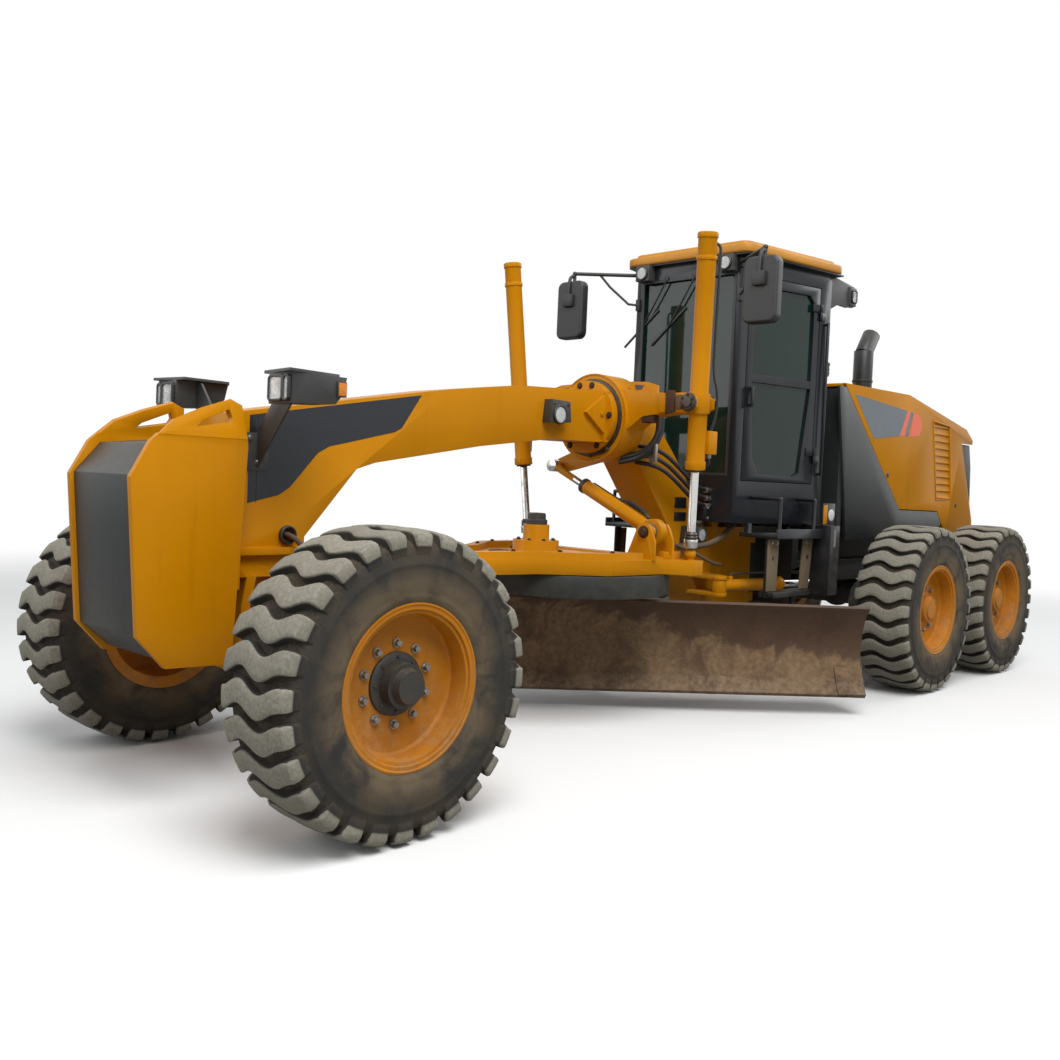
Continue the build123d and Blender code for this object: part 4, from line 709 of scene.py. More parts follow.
@dataclass
class Workshop:
    """The frame, the machine's datum and the finishes, and how a piece is settled on a body."""

    frame: dict
    front: float = 0.0
    made: Dict[Finish, bpy.types.Material] = field(default_factory=dict)
    count: int = 0

    def __post_init__(self) -> None:
        """Finds the front axle, from which every length is counted."""
        low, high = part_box("tyre_front_left")
        self.front = (low[0] + high[0]) / 2

    def at(self, x: float, y: float, z: float) -> Vector:
        """A point of the machine, x counted from the front axle."""
        return Vector((x + self.front, y, z))

    def path(self, points: Sequence[Point], side: int = 1) -> List[Vector]:
        """Points of the machine, on the left side or mirrored to the right."""
        return [self.at(x, y * side, z) for x, y, z in points]

    def body_of(self, node: str) -> str:
        """The body that a node rides on."""
        return self.frame["nodes"][node]["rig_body"]

    def finish(self, kind: Finish) -> bpy.types.Material:
        """The material of a finish."""
        if kind not in self.made:
            self.made[kind] = FINISHES[kind][1].brew(kind.value)
        return self.made[kind]

    def baked(self, thing: bpy.types.Object) -> bpy.types.Mesh:
        """The mesh of an object with its modifiers applied; the object is removed."""
        bpy.context.view_layer.update()
        graph = bpy.context.evaluated_depsgraph_get()
        mesh = bpy.data.meshes.new_from_object(thing.evaluated_get(graph), depsgraph=graph)
        bpy.data.objects.remove(thing)
        return mesh

    def hang(self, name: str, mesh: bpy.types.Mesh, kind: Finish, body: str, smooth: float = FLAT) -> bpy.types.Object:
        """Makes an object of a mesh and puts it on its body.

        Args:
            name: the piece's name.
            mesh: its mesh, in place.
            kind: its finish.
            body: the body that it rides on.
            smooth: faces that meet at less than this many degrees are smoothed.

        Returns:
            The new object.
        """
        mesh.name = name
        mesh.materials.clear()
        mesh.materials.append(self.finish(kind))
        mesh.shade_smooth()
        mesh.set_sharp_from_angle(angle=math.radians(smooth))
        thing = linked(name, mesh)
        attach(thing, body)
        self.count += 1
        log.info("piece %s: %s, on %s", name, kind.value, body)
        return thing

    def settle(self, name: str, shape: Shape, kind: Finish, body: str, bevel: float = 0.0,
               smooth: float = FLAT) -> bpy.types.Object:
        """Turns a shape into a piece.

        Args:
            name: the piece's name.
            shape: the mesh in the making.
            kind: its finish.
            body: the body that it rides on.
            bevel: how wide its edges are broken, in metres.
            smooth: faces that meet at less than this many degrees are smoothed.

        Returns:
            The new object.
        """
        return self.hang(name, self.broken(shape.done(name), bevel), kind, body, smooth)

    def broken(self, mesh: bpy.types.Mesh, width: float, segments: int = 2, sharp: float = 32.0) -> bpy.types.Mesh:
        """A mesh with its sharp edges broken, or as it is where the width is 0."""
        if not width:
            return mesh
        thing = linked("blank", mesh)
        bevel = thing.modifiers.new("edges", "BEVEL")
        bevel.width = width
        bevel.segments = segments
        bevel.limit_method = "ANGLE"
        bevel.angle_limit = math.radians(sharp)
        bevel.harden_normals = False
        return self.baked(thing)

    def softened(self, node: str, kind: Finish, width: float, dissolve: float = 0.6) -> bpy.types.Object:
        """A copy of a node with broken edges that stands for it.

        Args:
            node: the node's name.
            kind: its finish.
            width: how wide its edges are broken, in metres.
            dissolve: faces that meet at less than this many degrees are joined first.

        Returns:
            The new object.
        """
        shape = Shape()
        shape.mesh.from_mesh(self.frame["nodes"][node].data)
        bmesh.ops.remove_doubles(shape.mesh, verts=shape.mesh.verts, dist=2e-5)
        bmesh.ops.dissolve_limit(shape.mesh, angle_limit=math.radians(dissolve), verts=shape.mesh.verts,
                                 edges=shape.mesh.edges)
        mesh = self.broken(shape.done(node, outward=False), width)
        piece = self.hang(f"{node}_skin", mesh, kind, self.body_of(node))
        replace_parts(piece, node)
        return piece

    def hose(self, name: str, route: Sequence[Vector], radius: float, kind: Finish, body: str,
             bend: bool = True) -> bpy.types.Object:
        """A pipe or hose along a route.

        Args:
            name: the piece's name.
            route: the points that it follows.
            radius: its radius, in metres.
            kind: its finish.
            body: the body that it rides on.
            bend: whether it runs in smooth curves.

        Returns:
            The new object.
        """
        curve = bpy.data.curves.new(name, "CURVE")
        curve.dimensions = "3D"
        curve.bevel_depth = radius
        curve.bevel_resolution = 3
        curve.use_fill_caps = True
        spline = curve.splines.new("NURBS" if bend else "POLY")
        spline.points.add(len(route) - 1)
        for point, spot in zip(spline.points, route):
            point.co = (*spot, 1.0)
        if bend:
            spline.order_u = 3
            spline.use_endpoint_u = True
            spline.resolution_u = 8
        return self.hang(name, self.baked(linked(name, curve)), kind, body, CURVED)


class CopyTree:
    """A Geometry Nodes tree that puts realized copies of a piece on points or round an axle."""

    def __init__(self, name: str, ring: bool) -> None:
        """Builds the tree.

        Args:
            name: the tree's name.
            ring: whether the copies go round the Y axis, and not on the object's own points.
        """
        self.tree = bpy.data.node_groups.new(name, "GeometryNodeTree")
        face = self.tree.interface
        for way in ("INPUT", "OUTPUT"):
            face.new_socket(name="Geometry", in_out=way, socket_type="NodeSocketGeometry")
        self.copy, self.number, self.turn, self.coat = (
            face.new_socket(name=label, in_out="INPUT", socket_type=f"NodeSocket{kind}").identifier
            for label, kind in (("Copy", "Object"), ("Count", "Int"), ("Turn", "Vector"), ("Finish", "Material")))
        start = self.tree.nodes.new("NodeGroupInput").outputs
        points, turn = start["Geometry"], start["Turn"]
        if ring:
            points = self._node("GeometryNodeMeshLine", {"Count": start["Count"], "Offset": (0, 0, 0)})
            index = self._node("GeometryNodeInputIndex", {})
            share = self._node("ShaderNodeMath", {0: index, 1: start["Count"]}, "DIVIDE")
            angle = self._node("ShaderNodeMath", {0: share, 1: 2 * math.pi}, "MULTIPLY")
            turn = self._node("ShaderNodeCombineXYZ", {"Y": angle})
        info = self._node("GeometryNodeObjectInfo", {"Object": start["Copy"]}, output="Geometry")
        place = self._node("GeometryNodeInstanceOnPoints", {"Points": points, "Instance": info, "Rotation": turn})
        real = self._node("GeometryNodeRealizeInstances", {"Geometry": place})
        made = self._node("GeometryNodeSetMaterial", {"Geometry": real, "Material": start["Finish"]})
        if ring:
            join = self.tree.nodes.new("GeometryNodeJoinGeometry")
            for part in (made, start["Geometry"]):
                self.tree.links.new(part, join.inputs[0])
            made = join.outputs[0]
        self.tree.links.new(made, self.tree.nodes.new("NodeGroupOutput").inputs[0])

    def _node(self, kind: str, sockets: dict, operation: str = "", output: Union[int, str] = 0
              ) -> bpy.types.NodeSocket:
        """Adds a node.

        Args:
            kind: the node's type.
            sockets: a value or another node's output for each input.
            operation: what a Math node does.
            output: which output to return.

        Returns:
            The chosen output.
        """
        item = self.tree.nodes.new(kind)
        if operation:
            item.operation = operation
        for key, value in sockets.items():
            if isinstance(value, bpy.types.NodeSocket):
                self.tree.links.new(value, item.inputs[key])
            else:
                item.inputs[key].default_value = value
        return item.outputs[output]

    def run(self, shop: Workshop, base: bpy.types.Mesh, copy: bpy.types.Mesh, kind: Finish, count: int = 1,
            turn: Point = (0.0, 0.0, 0.0)) -> bpy.types.Mesh:
        """Runs the tree once.

        Args:
            shop: the workshop, for its finishes.
            base: the mesh that the copies join, or whose points they stand on.
            copy: the mesh that is repeated.
            kind: the copies' finish.
            count: how many there are in a ring.
            turn: how each copy is turned, where they stand on points.

        Returns:
            The realized mesh.
        """
        source, host = linked("copy", copy), linked("host", base)
        modifier = host.modifiers.new("copies", "NODES")
        modifier.node_group = self.tree
        for key, value in ((self.copy, source), (self.number, count), (self.turn, turn),
                           (self.coat, shop.finish(kind))):
            modifier[key] = value
        mesh = shop.baked(host)
        bpy.data.objects.remove(source)
        return mesh


@dataclass
class Fasteners:
    """Bolt heads and nuts, all put on by one tree."""

    shop: Workshop
    tree: CopyTree = field(default_factory=lambda: CopyTree("bolts_on_points", ring=False))

    def head(self, radius: float, height: float) -> bpy.types.Mesh:
        """A six-sided head on its washer, standing along +Z."""
        washer = height * 0.22
        disc = [(0, 0), (0, radius * 1.35), (washer, radius * 1.3), (washer, 0)]
        nut = [(washer * 0.9, 0), (washer * 0.9, radius), (height * 0.86, radius), (height, radius * 0.84), (height, 0)]
        shape = Shape().lathe(disc, Vector(), UP, 20, False).lathe(nut, Vector(), UP, 6, False)
        return shape.done()

    def put(self, name: str, spots: Sequence[Vector], outward: Vector, body: str, kind: Finish,
            radius: float, height: float) -> bpy.types.Object:
        """Puts heads on points.

        Args:
            name: the piece's name.
            spots: where each head seats.
            outward: the direction that the heads point in.
            body: the body that they ride on.
            kind: their finish.
            radius: the head's radius, in metres.
            height: its height, in metres.

        Returns:
            The new object.
        """
        base = bpy.data.meshes.new("spots")
        base.from_pydata([tuple(spot) for spot in spots], [], [])
        turn = UP.rotation_difference(outward).to_euler()
        mesh = self.tree.run(self.shop, base, self.head(radius, height), kind, turn=tuple(turn))
        return self.shop.hang(name, mesh, kind, body)


@dataclass
class Wheels:
    """The six tyres and rims."""

    shop: Workshop
    bolts: Fasteners
    radius: float = 0.674
    bead: float = 0.3655
    lugs: int = 28
    lug_half: float = 0.050
    lug_depth: float = 0.038
    wave: float = 0.024
    wave_length: float = 0.270
    nuts: int = 10
    nut_circle: float = 0.176
    dish_face: float = 0.080
    cap_bolts: int = 8
    cap_circle: float = 0.118
    cap_face: float = 0.0965
    smooth: float = 38.0

    def carcass(self, reach: float) -> float:
        """The radius under the lugs at a distance from the tyre's middle plane."""
        steps = ((0.0, 0.634), (0.165, 0.628), (0.190, 0.617), (0.205, 0.600), (0.2145, 0.570))
        for (y0, r0), (y1, r1) in zip(steps, steps[1:]):
            if reach <= y1:
                return r0 + (r1 - r0) * (reach - y0) / (y1 - y0)
        return steps[-1][1]

    def swing(self, reach: float) -> float:
        """How far round the tyre a lug has waved at a distance from the middle plane, in metres."""
        return self.wave * math.sin(2 * math.pi * reach / self.wave_length)

    def wall(self) -> Shape:
        """The tyre under its lugs, with its moulded rings."""
        half = [(0.204, self.bead), (0.213, 0.380), (0.2165, 0.395), (0.2160, 0.412), (0.2195, 0.420),
                (0.2205, 0.455), (0.2200, 0.500), (0.2190, 0.516), (0.2205, 0.520), (0.2205, 0.532),
                (0.2175, 0.537), (0.2155, 0.562), (0.2080, 0.592), (0.1930, 0.613), (0.1650, 0.628),
                (0.0900, 0.633)]
        inner = [(0.178, 0.330), (0.150, 0.345), (0.160, 0.56)]
        profile = [(-y, r) for y, r in half] + [(0.0, 0.634)] + half[::-1] + inner + [(-y, r) for y, r in inner[::-1]]
        return Shape().lathe(profile, Vector(), LEFT, 144)

    def lug(self) -> bpy.types.Mesh:
        """One tread bar that waves across the tyre and turns down over its shoulders."""
        half = ((-0.2150, 0.560, -0.2165, 0.572), (-0.2090, 0.588, -0.2215, 0.604), (-0.2000, 0.604, -0.2215, 0.634),
                (-0.1930, 0.612, -0.2130, 0.652), (-0.1700, 0.626, -0.1800, 0.6655), (-0.1300, 0.630, -0.1340, 0.6705),
                (-0.0900, 0.632, -0.0920, 0.6725), (-0.0450, 0.633, -0.0460, 0.6735), (0.0, 0.634, 0.0, 0.674))
        full = list(half) + [(-y, r, -top_y, top) for y, r, top_y, top in half[-2::-1]]
        fine = full[:1]
        for first, second in zip(full, full[1:]):
            fine += [tuple((a + b) / 2 for a, b in zip(first, second)), second]
        section = ((-1.16, -0.10), (-1.04, 0.55), (-0.96, 0.90), (-0.86, 0.985), (-0.30, 1.0), (0.30, 1.0),
                   (0.86, 0.985), (0.96, 0.90), (1.04, 0.55), (1.16, -0.10))
        shape = Shape()
        rows = []
        for base_y, base_r, top_y, top_r in fine:
            row = []
            pinch = 1.0 - 0.16 * max(0.0, abs(base_y) - 0.185) / 0.03
            for across, up in section:
                y = base_y + (top_y - base_y) * up
                r = base_r + (top_r - base_r) * up
                angle = (across * self.lug_half * pinch + self.swing(y)) / self.radius
                row.append(Vector((r * math.sin(angle), y, r * math.cos(angle))))
            rows.append(shape.verts(row))
        for first, second in zip(rows, rows[1:]):
            shape.band(first, second)
        shape.mesh.faces.new(rows[0][::-1])
        shape.mesh.faces.new(rows[-1])
        return shape.done()

    def note(self, mesh: bpy.types.Mesh, centre: Vector) -> None:
        """Stores on the mesh what the rubber's colours follow.

        Args:
            mesh: the tyre's mesh, in place.
            centre: the middle of its axle.
        """
        rise, reach, tone = (mesh.attributes.new(name, "FLOAT", "POINT") for name in ("rise", "reach", "tone"))
        for i, vertex in enumerate(mesh.vertices):
            spot = vertex.co - centre
            out = math.hypot(spot.x, spot.z)
            rise.data[i].value = max(0.0, min(1.0, (out - self.carcass(abs(spot.y))) / self.lug_depth))
            reach.data[i].value = out / self.radius
            turn = math.atan2(spot.x, spot.z) - self.swing(spot.y) / self.radius
            step = round(turn / (2 * math.pi) * self.lugs) % self.lugs
            tone.data[i].value = (math.sin(step * 12.9898) * 43758.5453) % 1.0

    def rim(self) -> Shape:
        """A deep-dished rim whose outer side is +Y."""
        flange = [(0.178, 0.3175), (0.178, 0.352), (0.186, 0.3645), (0.196, 0.3665), (0.204, 0.3620),
                  (0.2055, 0.3540), (0.2010, 0.3480), (0.2010, 0.3330), (0.1985, 0.3300), (0.1900, 0.3290),
                  (0.1880, 0.3150), (0.1840, 0.3130)]
        dish = [(0.098, 0.3080), (0.0860, 0.2950), (0.0790, 0.2600), (0.0800, 0.1500), (0.0800, 0.0)]
        back = [(0.060, 0.0), (0.060, 0.2900), (0.066, 0.3030), (-0.184, 0.3030), (-0.204, 0.3620),
                (-0.196, 0.3665), (-0.178, 0.3520), (-0.178, 0.3175)]
        return Shape().lathe(flange + dish + back, Vector(), LEFT, 96)

    def hub(self, front: bool) -> Shape:
        """The hub in the rim's dish: a flanged drum with its cap."""
        if front:
            profile = [(0.070, 0.0), (0.070, 0.140), (0.092, 0.138), (0.098, 0.128), (0.100, 0.100), (0.140, 0.094),
                       (0.146, 0.088), (0.146, 0.098), (0.160, 0.098), (0.160, 0.080), (0.176, 0.074),
                       (0.198, 0.070), (0.200, 0.0)]
        else:
            profile = [(0.070, 0.0), (0.070, 0.138), (0.090, 0.134), (0.094, 0.112), (0.130, 0.104),
                       (0.138, 0.082), (0.150, 0.078), (0.152, 0.0)]
        return Shape().lathe(profile, Vector(), LEFT, 64, False)

    def build(self) -> None:
        """Builds every wheel at its axle."""
        ring = CopyTree("lugs_round_the_axle", ring=True)
        for place in ("front", "mid", "rear"):
            for side in SIDES:
                self._wheel(ring, place, side)
        log.info("wheels: six tyres with %d lugs each", self.lugs)

    def _wheel(self, ring: CopyTree, place: str, side: int) -> None:
        """Builds one wheel."""
        name, shop, front = f"{place}_{SIDES[side]}", self.shop, place == "front"
        low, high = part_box(f"tyre_{name}")
        centre = Vector(((low[0] + high[0]) / 2, (low[1] + high[1]) / 2, self.radius))
        body, out = f"wheel_{name}", LEFT * side
        seat = Matrix.Translation(centre) @ Matrix.Rotation(0.0 if side > 0 else math.pi, 4, "Z")
        mesh = ring.run(shop, self.wall().done(), self.lug(), Finish.TYRE, self.lugs)
        mesh.transform(seat)
        self.note(mesh, centre)
        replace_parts(shop.hang(f"tyre_{name}_skin", mesh, Finish.TYRE, body, self.smooth), f"tyre_{name}")
        rim = shop.settle(f"rim_{name}_skin", self.rim().moved(seat), Finish.RIM, body, smooth=TURNED)
        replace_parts(rim, f"rim_{name}")
        kind = Finish.HUB if front else Finish.RIM
        shop.settle(f"hub_{name}", self.hub(front).moved(seat), kind, body, smooth=TURNED)
        spots = [seat @ Vector((u, self.dish_face, v)) for u, v in circle_points(self.nuts, self.nut_circle, 0.5)]
        self.bolts.put(f"wheel_nuts_{name}", spots, out, body, Finish.BARE_STEEL, 0.0165, 0.026)
        if front:
            spots = [seat @ Vector((u, self.cap_face, v)) for u, v in circle_points(self.cap_bolts, self.cap_circle)]
            self.bolts.put(f"hub_bolts_{SIDES[side]}", spots, out, body, Finish.HUB, 0.008, 0.009)


@dataclass
class Nodes:
    """The frame's own nodes, copied with broken edges and given their finishes."""

    shop: Workshop

    def build(self) -> None:
        """Dresses every node that no bespoke piece replaces."""
        single: Dict[Finish, Dict[str, float]] = {
            Finish.DARK_STEEL: {"rear_frame": 0.004, "rear_axle": 0.005, "circle": 0.005, "blade_carrier": 0.004},
            Finish.IRON: {"engine_block": 0.012},
            Finish.YELLOW: {"hood": 0.005, "front_frame": 0.004, "nose_plates": 0.004, "front_axle": 0.006,
                            "saddle": 0.005, "lean_bar": 0.003, "drawbar": 0.005, "swing_barrel": 0.003},
            Finish.CHARCOAL: {"engine_fairing": 0.005, "rear_grille": 0.005, "exhaust": 0.003, "nose_panel": 0.004},
            Finish.PLASTIC: {"air_cleaner": 0.008, "steering_console": 0.004, "mirrors": 0.006},
            Finish.LAMP_GREY: {"work_lamps": 0.006},
            Finish.CAB_BLACK: {"cab_frame": 0.006, "steps": 0.003},
            Finish.ROOF: {"cab_roof": 0.014},
            Finish.GLASS: {"cab_glass": 0.0},
            Finish.BARE_STEEL: {"drawbar_ball": 0.003, "swing_socket": 0.0},
            Finish.CHROME: {"swing_rod": 0.002},
        }
        paired: Dict[Finish, Dict[str, float]] = {
            Finish.CAB_BLACK: {"door": 0.005},
            Finish.GLASS: {"door_glass": 0.0},
            Finish.YELLOW: {"lean_bracket": 0.005, "knuckle": 0.005, "lift_barrel": 0.003, "steer_barrel": 0.003},
            Finish.CHROME: {"lift_rod": 0.002, "steer_rod": 0.002},
        }
        for table, endings in ((single, ("",)), (paired, ("_left", "_right"))):
            for kind, nodes in table.items():
                for node, width in nodes.items():
                    for ending in endings:
                        self.shop.softened(node + ending, kind, width)
        log.info("nodes: dressed")


@dataclass
class Blade:
    """The moldboard's soil and its worn edge."""

    shop: Workshop
    angle: float = 48.0
    length: float = 3.66
    shift: float = 0.348
    circle_x: float = -2.400
    bottom: float = 0.150
    height: float = 0.620

    def build(self) -> None:
        """Dresses the blade, storing where each point lies on it."""
        mesh = self.shop.softened("moldboard", Finish.BLADE, 0.003).data
        along, high = (mesh.attributes.new(name, "FLOAT", "POINT") for name in ("along", "high"))
        angle = math.radians(self.angle)
        direction = Vector((-math.sin(angle), math.cos(angle), 0))
        middle = self.shop.at(self.circle_x, 0, 0) + direction * self.shift
        for i, vertex in enumerate(mesh.vertices):
            along.data[i].value = (vertex.co - middle).dot(direction) / self.length + 0.5
            high.data[i].value = (vertex.co.z - self.bottom) / self.height
        log.info("blade: dressed")


@dataclass
class Trim:
    """A sub-assembly of small pieces that ride on the frame's bodies."""

    shop: Workshop
    bolts: Fasteners

    def dress(self, node: str, side: int, *items: Item) -> None:
        """Settles pieces on the body of a node.

        Args:
            node: a node of the body that they ride on.
            side: 1 for the left side, -1 for the right and 0 for pieces that stand alone.
            items: the pieces.
        """
        body = self.shop.body_of(node)
        for item in items:
            item.add(self, f"{item.name}_{SIDES[side]}" if side else item.name, body, side or 1)


def mirrored(direction: Point, side: int) -> Vector:
    """A direction of the left side, or its mirror image."""
    x, y, z = direction
    return Vector((x, y * side, z))


@dataclass(frozen=True)
class Item:
    """A piece of trim. Its points are those of the left side, and side -1 mirrors them."""

    name: str
    kind: Finish

    def shape(self, shop: Workshop, side: int) -> Shape:
        """The piece as a shape."""
        raise NotImplementedError(self.name)

    def add(self, trim: Trim, name: str, body: str, side: int) -> None:
        """Settles the piece under a name on a body."""
        trim.shop.settle(name, self.shape(trim.shop, side), self.kind, body, self.bevel)


@dataclass(frozen=True)
class Box(Item):
    """A box between two corners."""

    low: Point
    high: Point
    bevel: float = 0.0

    def shape(self, shop: Workshop, side: int) -> Shape:
        """The box."""
        return Shape().block(*shop.path((self.low, self.high), side))


@dataclass(frozen=True)
class Plate(Item):
    """A plate of (x, z) points between two distances from the middle plane."""

    near: float
    far: float
    outline: Sequence[Flat]
    bevel: float = 0.0

    def shape(self, shop: Workshop, side: int) -> Shape:
        """The plate."""
        low, high = sorted((self.near * side, self.far * side))
        return Shape().prism([shop.at(x, low, z) for x, z in self.outline], LEFT * (high - low))


@dataclass(frozen=True)
class Section(Item):
    """A plate of (y, z) points between two lengths."""

    low: float
    high: float
    outline: Sequence[Flat]
    bevel: float = 0.0

    def shape(self, shop: Workshop, side: int) -> Shape:
        """The plate."""
        return Shape().prism([shop.at(self.low, y * side, z) for y, z in self.outline], AHEAD * (self.high - self.low))


@dataclass(frozen=True)
class Border(Item):
    """A flat frame between two outlines, drawn out by a vector."""

    outer: Sequence[Point]
    inner: Sequence[Point]
    depth: Point
    bevel: float = 0.0

    def shape(self, shop: Workshop, side: int) -> Shape:
        """The frame."""
        return Shape().frame(shop.path(self.outer, side), shop.path(self.inner, side), mirrored(self.depth, side))


@dataclass(frozen=True)
class Turned(Item):
    """A turned piece; its profile is a tube or ends on the axis."""

    centre: Point
    profile: Sequence[Flat]
    axis: Point = (0, 1, 0)
    segments: int = 48
    tube: bool = False
    bevel: float = 0.0

    def shape(self, shop: Workshop, side: int) -> Shape:
        """The turned body."""
        centre, = shop.path((self.centre,), side)
        return Shape().lathe(self.profile, centre, mirrored(self.axis, side), self.segments, self.tube)


@dataclass(frozen=True)
class Rod(Item):
    """A round bar between two points."""

    radius: float
    start: Point
    end: Point
    segments: int
    bevel: float = 0.0

    def shape(self, shop: Workshop, side: int) -> Shape:
        """The bar."""
        return Shape().bar(*shop.path((self.start, self.end), side), self.radius, self.segments)


@dataclass(frozen=True)
class Hose(Item):
    """A hose or pipe along its points."""

    radius: float
    route: Sequence[Point]
    bend: bool = True

    def add(self, trim: Trim, name: str, body: str, side: int) -> None:
        """Lays the hose."""
        trim.shop.hose(name, trim.shop.path(self.route, side), self.radius, self.kind, body, self.bend)


@dataclass(frozen=True)
class Heads(Item):
    """Bolt heads on points."""

    radius: float
    height: float
    spots: Sequence[Point]
    outward: Point = (0, 1, 0)

    def add(self, trim: Trim, name: str, body: str, side: int) -> None:
        """Puts the heads on."""
        spots, outward = trim.shop.path(self.spots, side), mirrored(self.outward, side)
        trim.bolts.put(name, spots, outward, body, self.kind, self.radius, self.height)


@dataclass
class Lamps(Trim):
    """The lamps' bezels, reflectors, lenses and markers on their housings."""

    corners: int = 8

    def _face(self, name: str, centre: Vector, across: Vector, outward: Vector, half: Flat, body: str,
              lens: Finish = Finish.LENS) -> None:
        """A rectangular lamp face.

        Args:
            name: the lamp's name.
            centre: the middle of its face.
            across: the direction of its width.
            outward: the direction that it shines in.
            half: half its width and half its height, in metres.
            body: the body that it rides on.
            lens: the finish of its lens.
        """

        def ring(width: float, height: float, depth: float, cut: float) -> List[Vector]:
            """The lamp's outline with cut corners, at a depth."""
            spots = ((width - cut, height), (width, height - cut), (width, -height + cut), (width - cut, -height),
                     (-width + cut, -height), (-width, -height + cut), (-width, height - cut), (-width + cut, height))
            return [centre + across * u + UP * v + outward * depth for u, v in spots]

        width, height = half
        rim = Shape().frame(ring(width, height, -0.002, 0.014), ring(width - 0.011, height - 0.011, -0.002, 0.008),
                            outward * 0.018)
        self.shop.settle(f"{name}_bezel", rim, Finish.PLASTIC, body, 0.002)
        for label, kind, rise, depth in (("reflector", Finish.REFLECTOR, -0.008, 0.009), ("lens", lens, 0.004, 0.011)):
            shape = Shape()
            edge = shape.verts(ring(width - 0.0105, height - 0.0105, depth, 0.008))
            inner = shape.verts(ring((width - 0.01) * 0.6, (height - 0.01) * 0.6, depth + rise, 0.006))
            shape.band(edge, inner)
            shape.mesh.faces.new(inner)
            piece = self.shop.settle(f"{name}_{label}", shape, kind, body, smooth=CURVED)
            if piece.data.polygons[self.corners].normal.dot(outward) < 0:
                piece.data.flip_normals()

    def _round(self, name: str, centre: Vector, outward: Vector, radius: float, body: str) -> None:
        """A round lamp face."""
        rim = [(-0.002, radius + 0.012), (0.012, radius + 0.011), (0.017, radius + 0.006), (0.016, radius),
               (-0.002, radius - 0.002)]
        bowl = [(0.001, 0.0), (0.002, radius * 0.45), (0.010, radius * 0.99), (-0.001, radius * 0.99), (-0.001, 0.0)]
        dome = [(0.011, 0.0), (0.011, radius * 0.99), (0.016, radius * 0.8), (0.020, radius * 0.4), (0.021, 0.0)]
        for label, kind, profile, tube in (("bezel", Finish.PLASTIC, rim, True), ("lens", Finish.LENS, dome, False),
                                           ("reflector", Finish.REFLECTOR, bowl, False)):
            self.shop.settle(f"{name}_{label}", Shape().lathe(profile, centre, outward, 48, tube), kind, body)

    def build(self) -> None:
        """Puts a face on every lamp housing."""
        shop, body, tail = self.shop, self.shop.body_of("work_lamps"), self.shop.body_of("rear_frame")
        for side, word in SIDES.items():
            out = LEFT * side
            for label, y, half in (("main", 0.510, 0.060), ("turn", 0.594, 0.026)):
                centre = shop.at(0.218, y * side, 1.936)
                self._face(f"front_lamp_{label}_{word}", centre, out, AHEAD, (half, 0.060), body)
            centre = shop.at(-4.922, 0.686 * side, 3.158)
            self._face(f"rear_lamp_{word}", centre, AHEAD, out, (0.042, 0.052), body)
            for label, kind, y in (("stop", Finish.RED, 0.530), ("turn", Finish.AMBER, 0.420)):
                centre = shop.at(-7.741, y * side, 1.230)
                self._face(f"tail_{label}_{word}", centre, out, -AHEAD, (0.048, 0.060), tail, kind)
            for label, spot, outward, radius in (("boom", (-1.985, 0.235, 1.992), out, 0.050),
                                                 ("leg", (-3.585, 0.250, 1.228), out, 0.046),
                                                 ("brow", (-3.536, 0.378, 3.212), AHEAD, 0.045)):
                self._round(f"{label}_lamp_{word}", shop.path((spot,), side)[0], outward, radius, body)
            self.dress("work_lamps", side,
                       Box("amber_marker", Finish.AMBER, (-0.066, 0.636, 1.920), (-0.024, 0.645, 1.980), 0.003),
                       Heads("lamp_bracket_bolts", Finish.BARE_STEEL, 0.011, 0.011,
                             ((0.145, 0.170, 1.716), (0.056, 0.170, 1.716), (0.100, 0.170, 1.600))),
                       Heads("boom_lamp_bolts", Finish.HUB, 0.007, 0.006,
                             ((-1.935, 0.235, 2.058), (-2.068, 0.235, 2.058))))
        log.info("lamps: dressed")


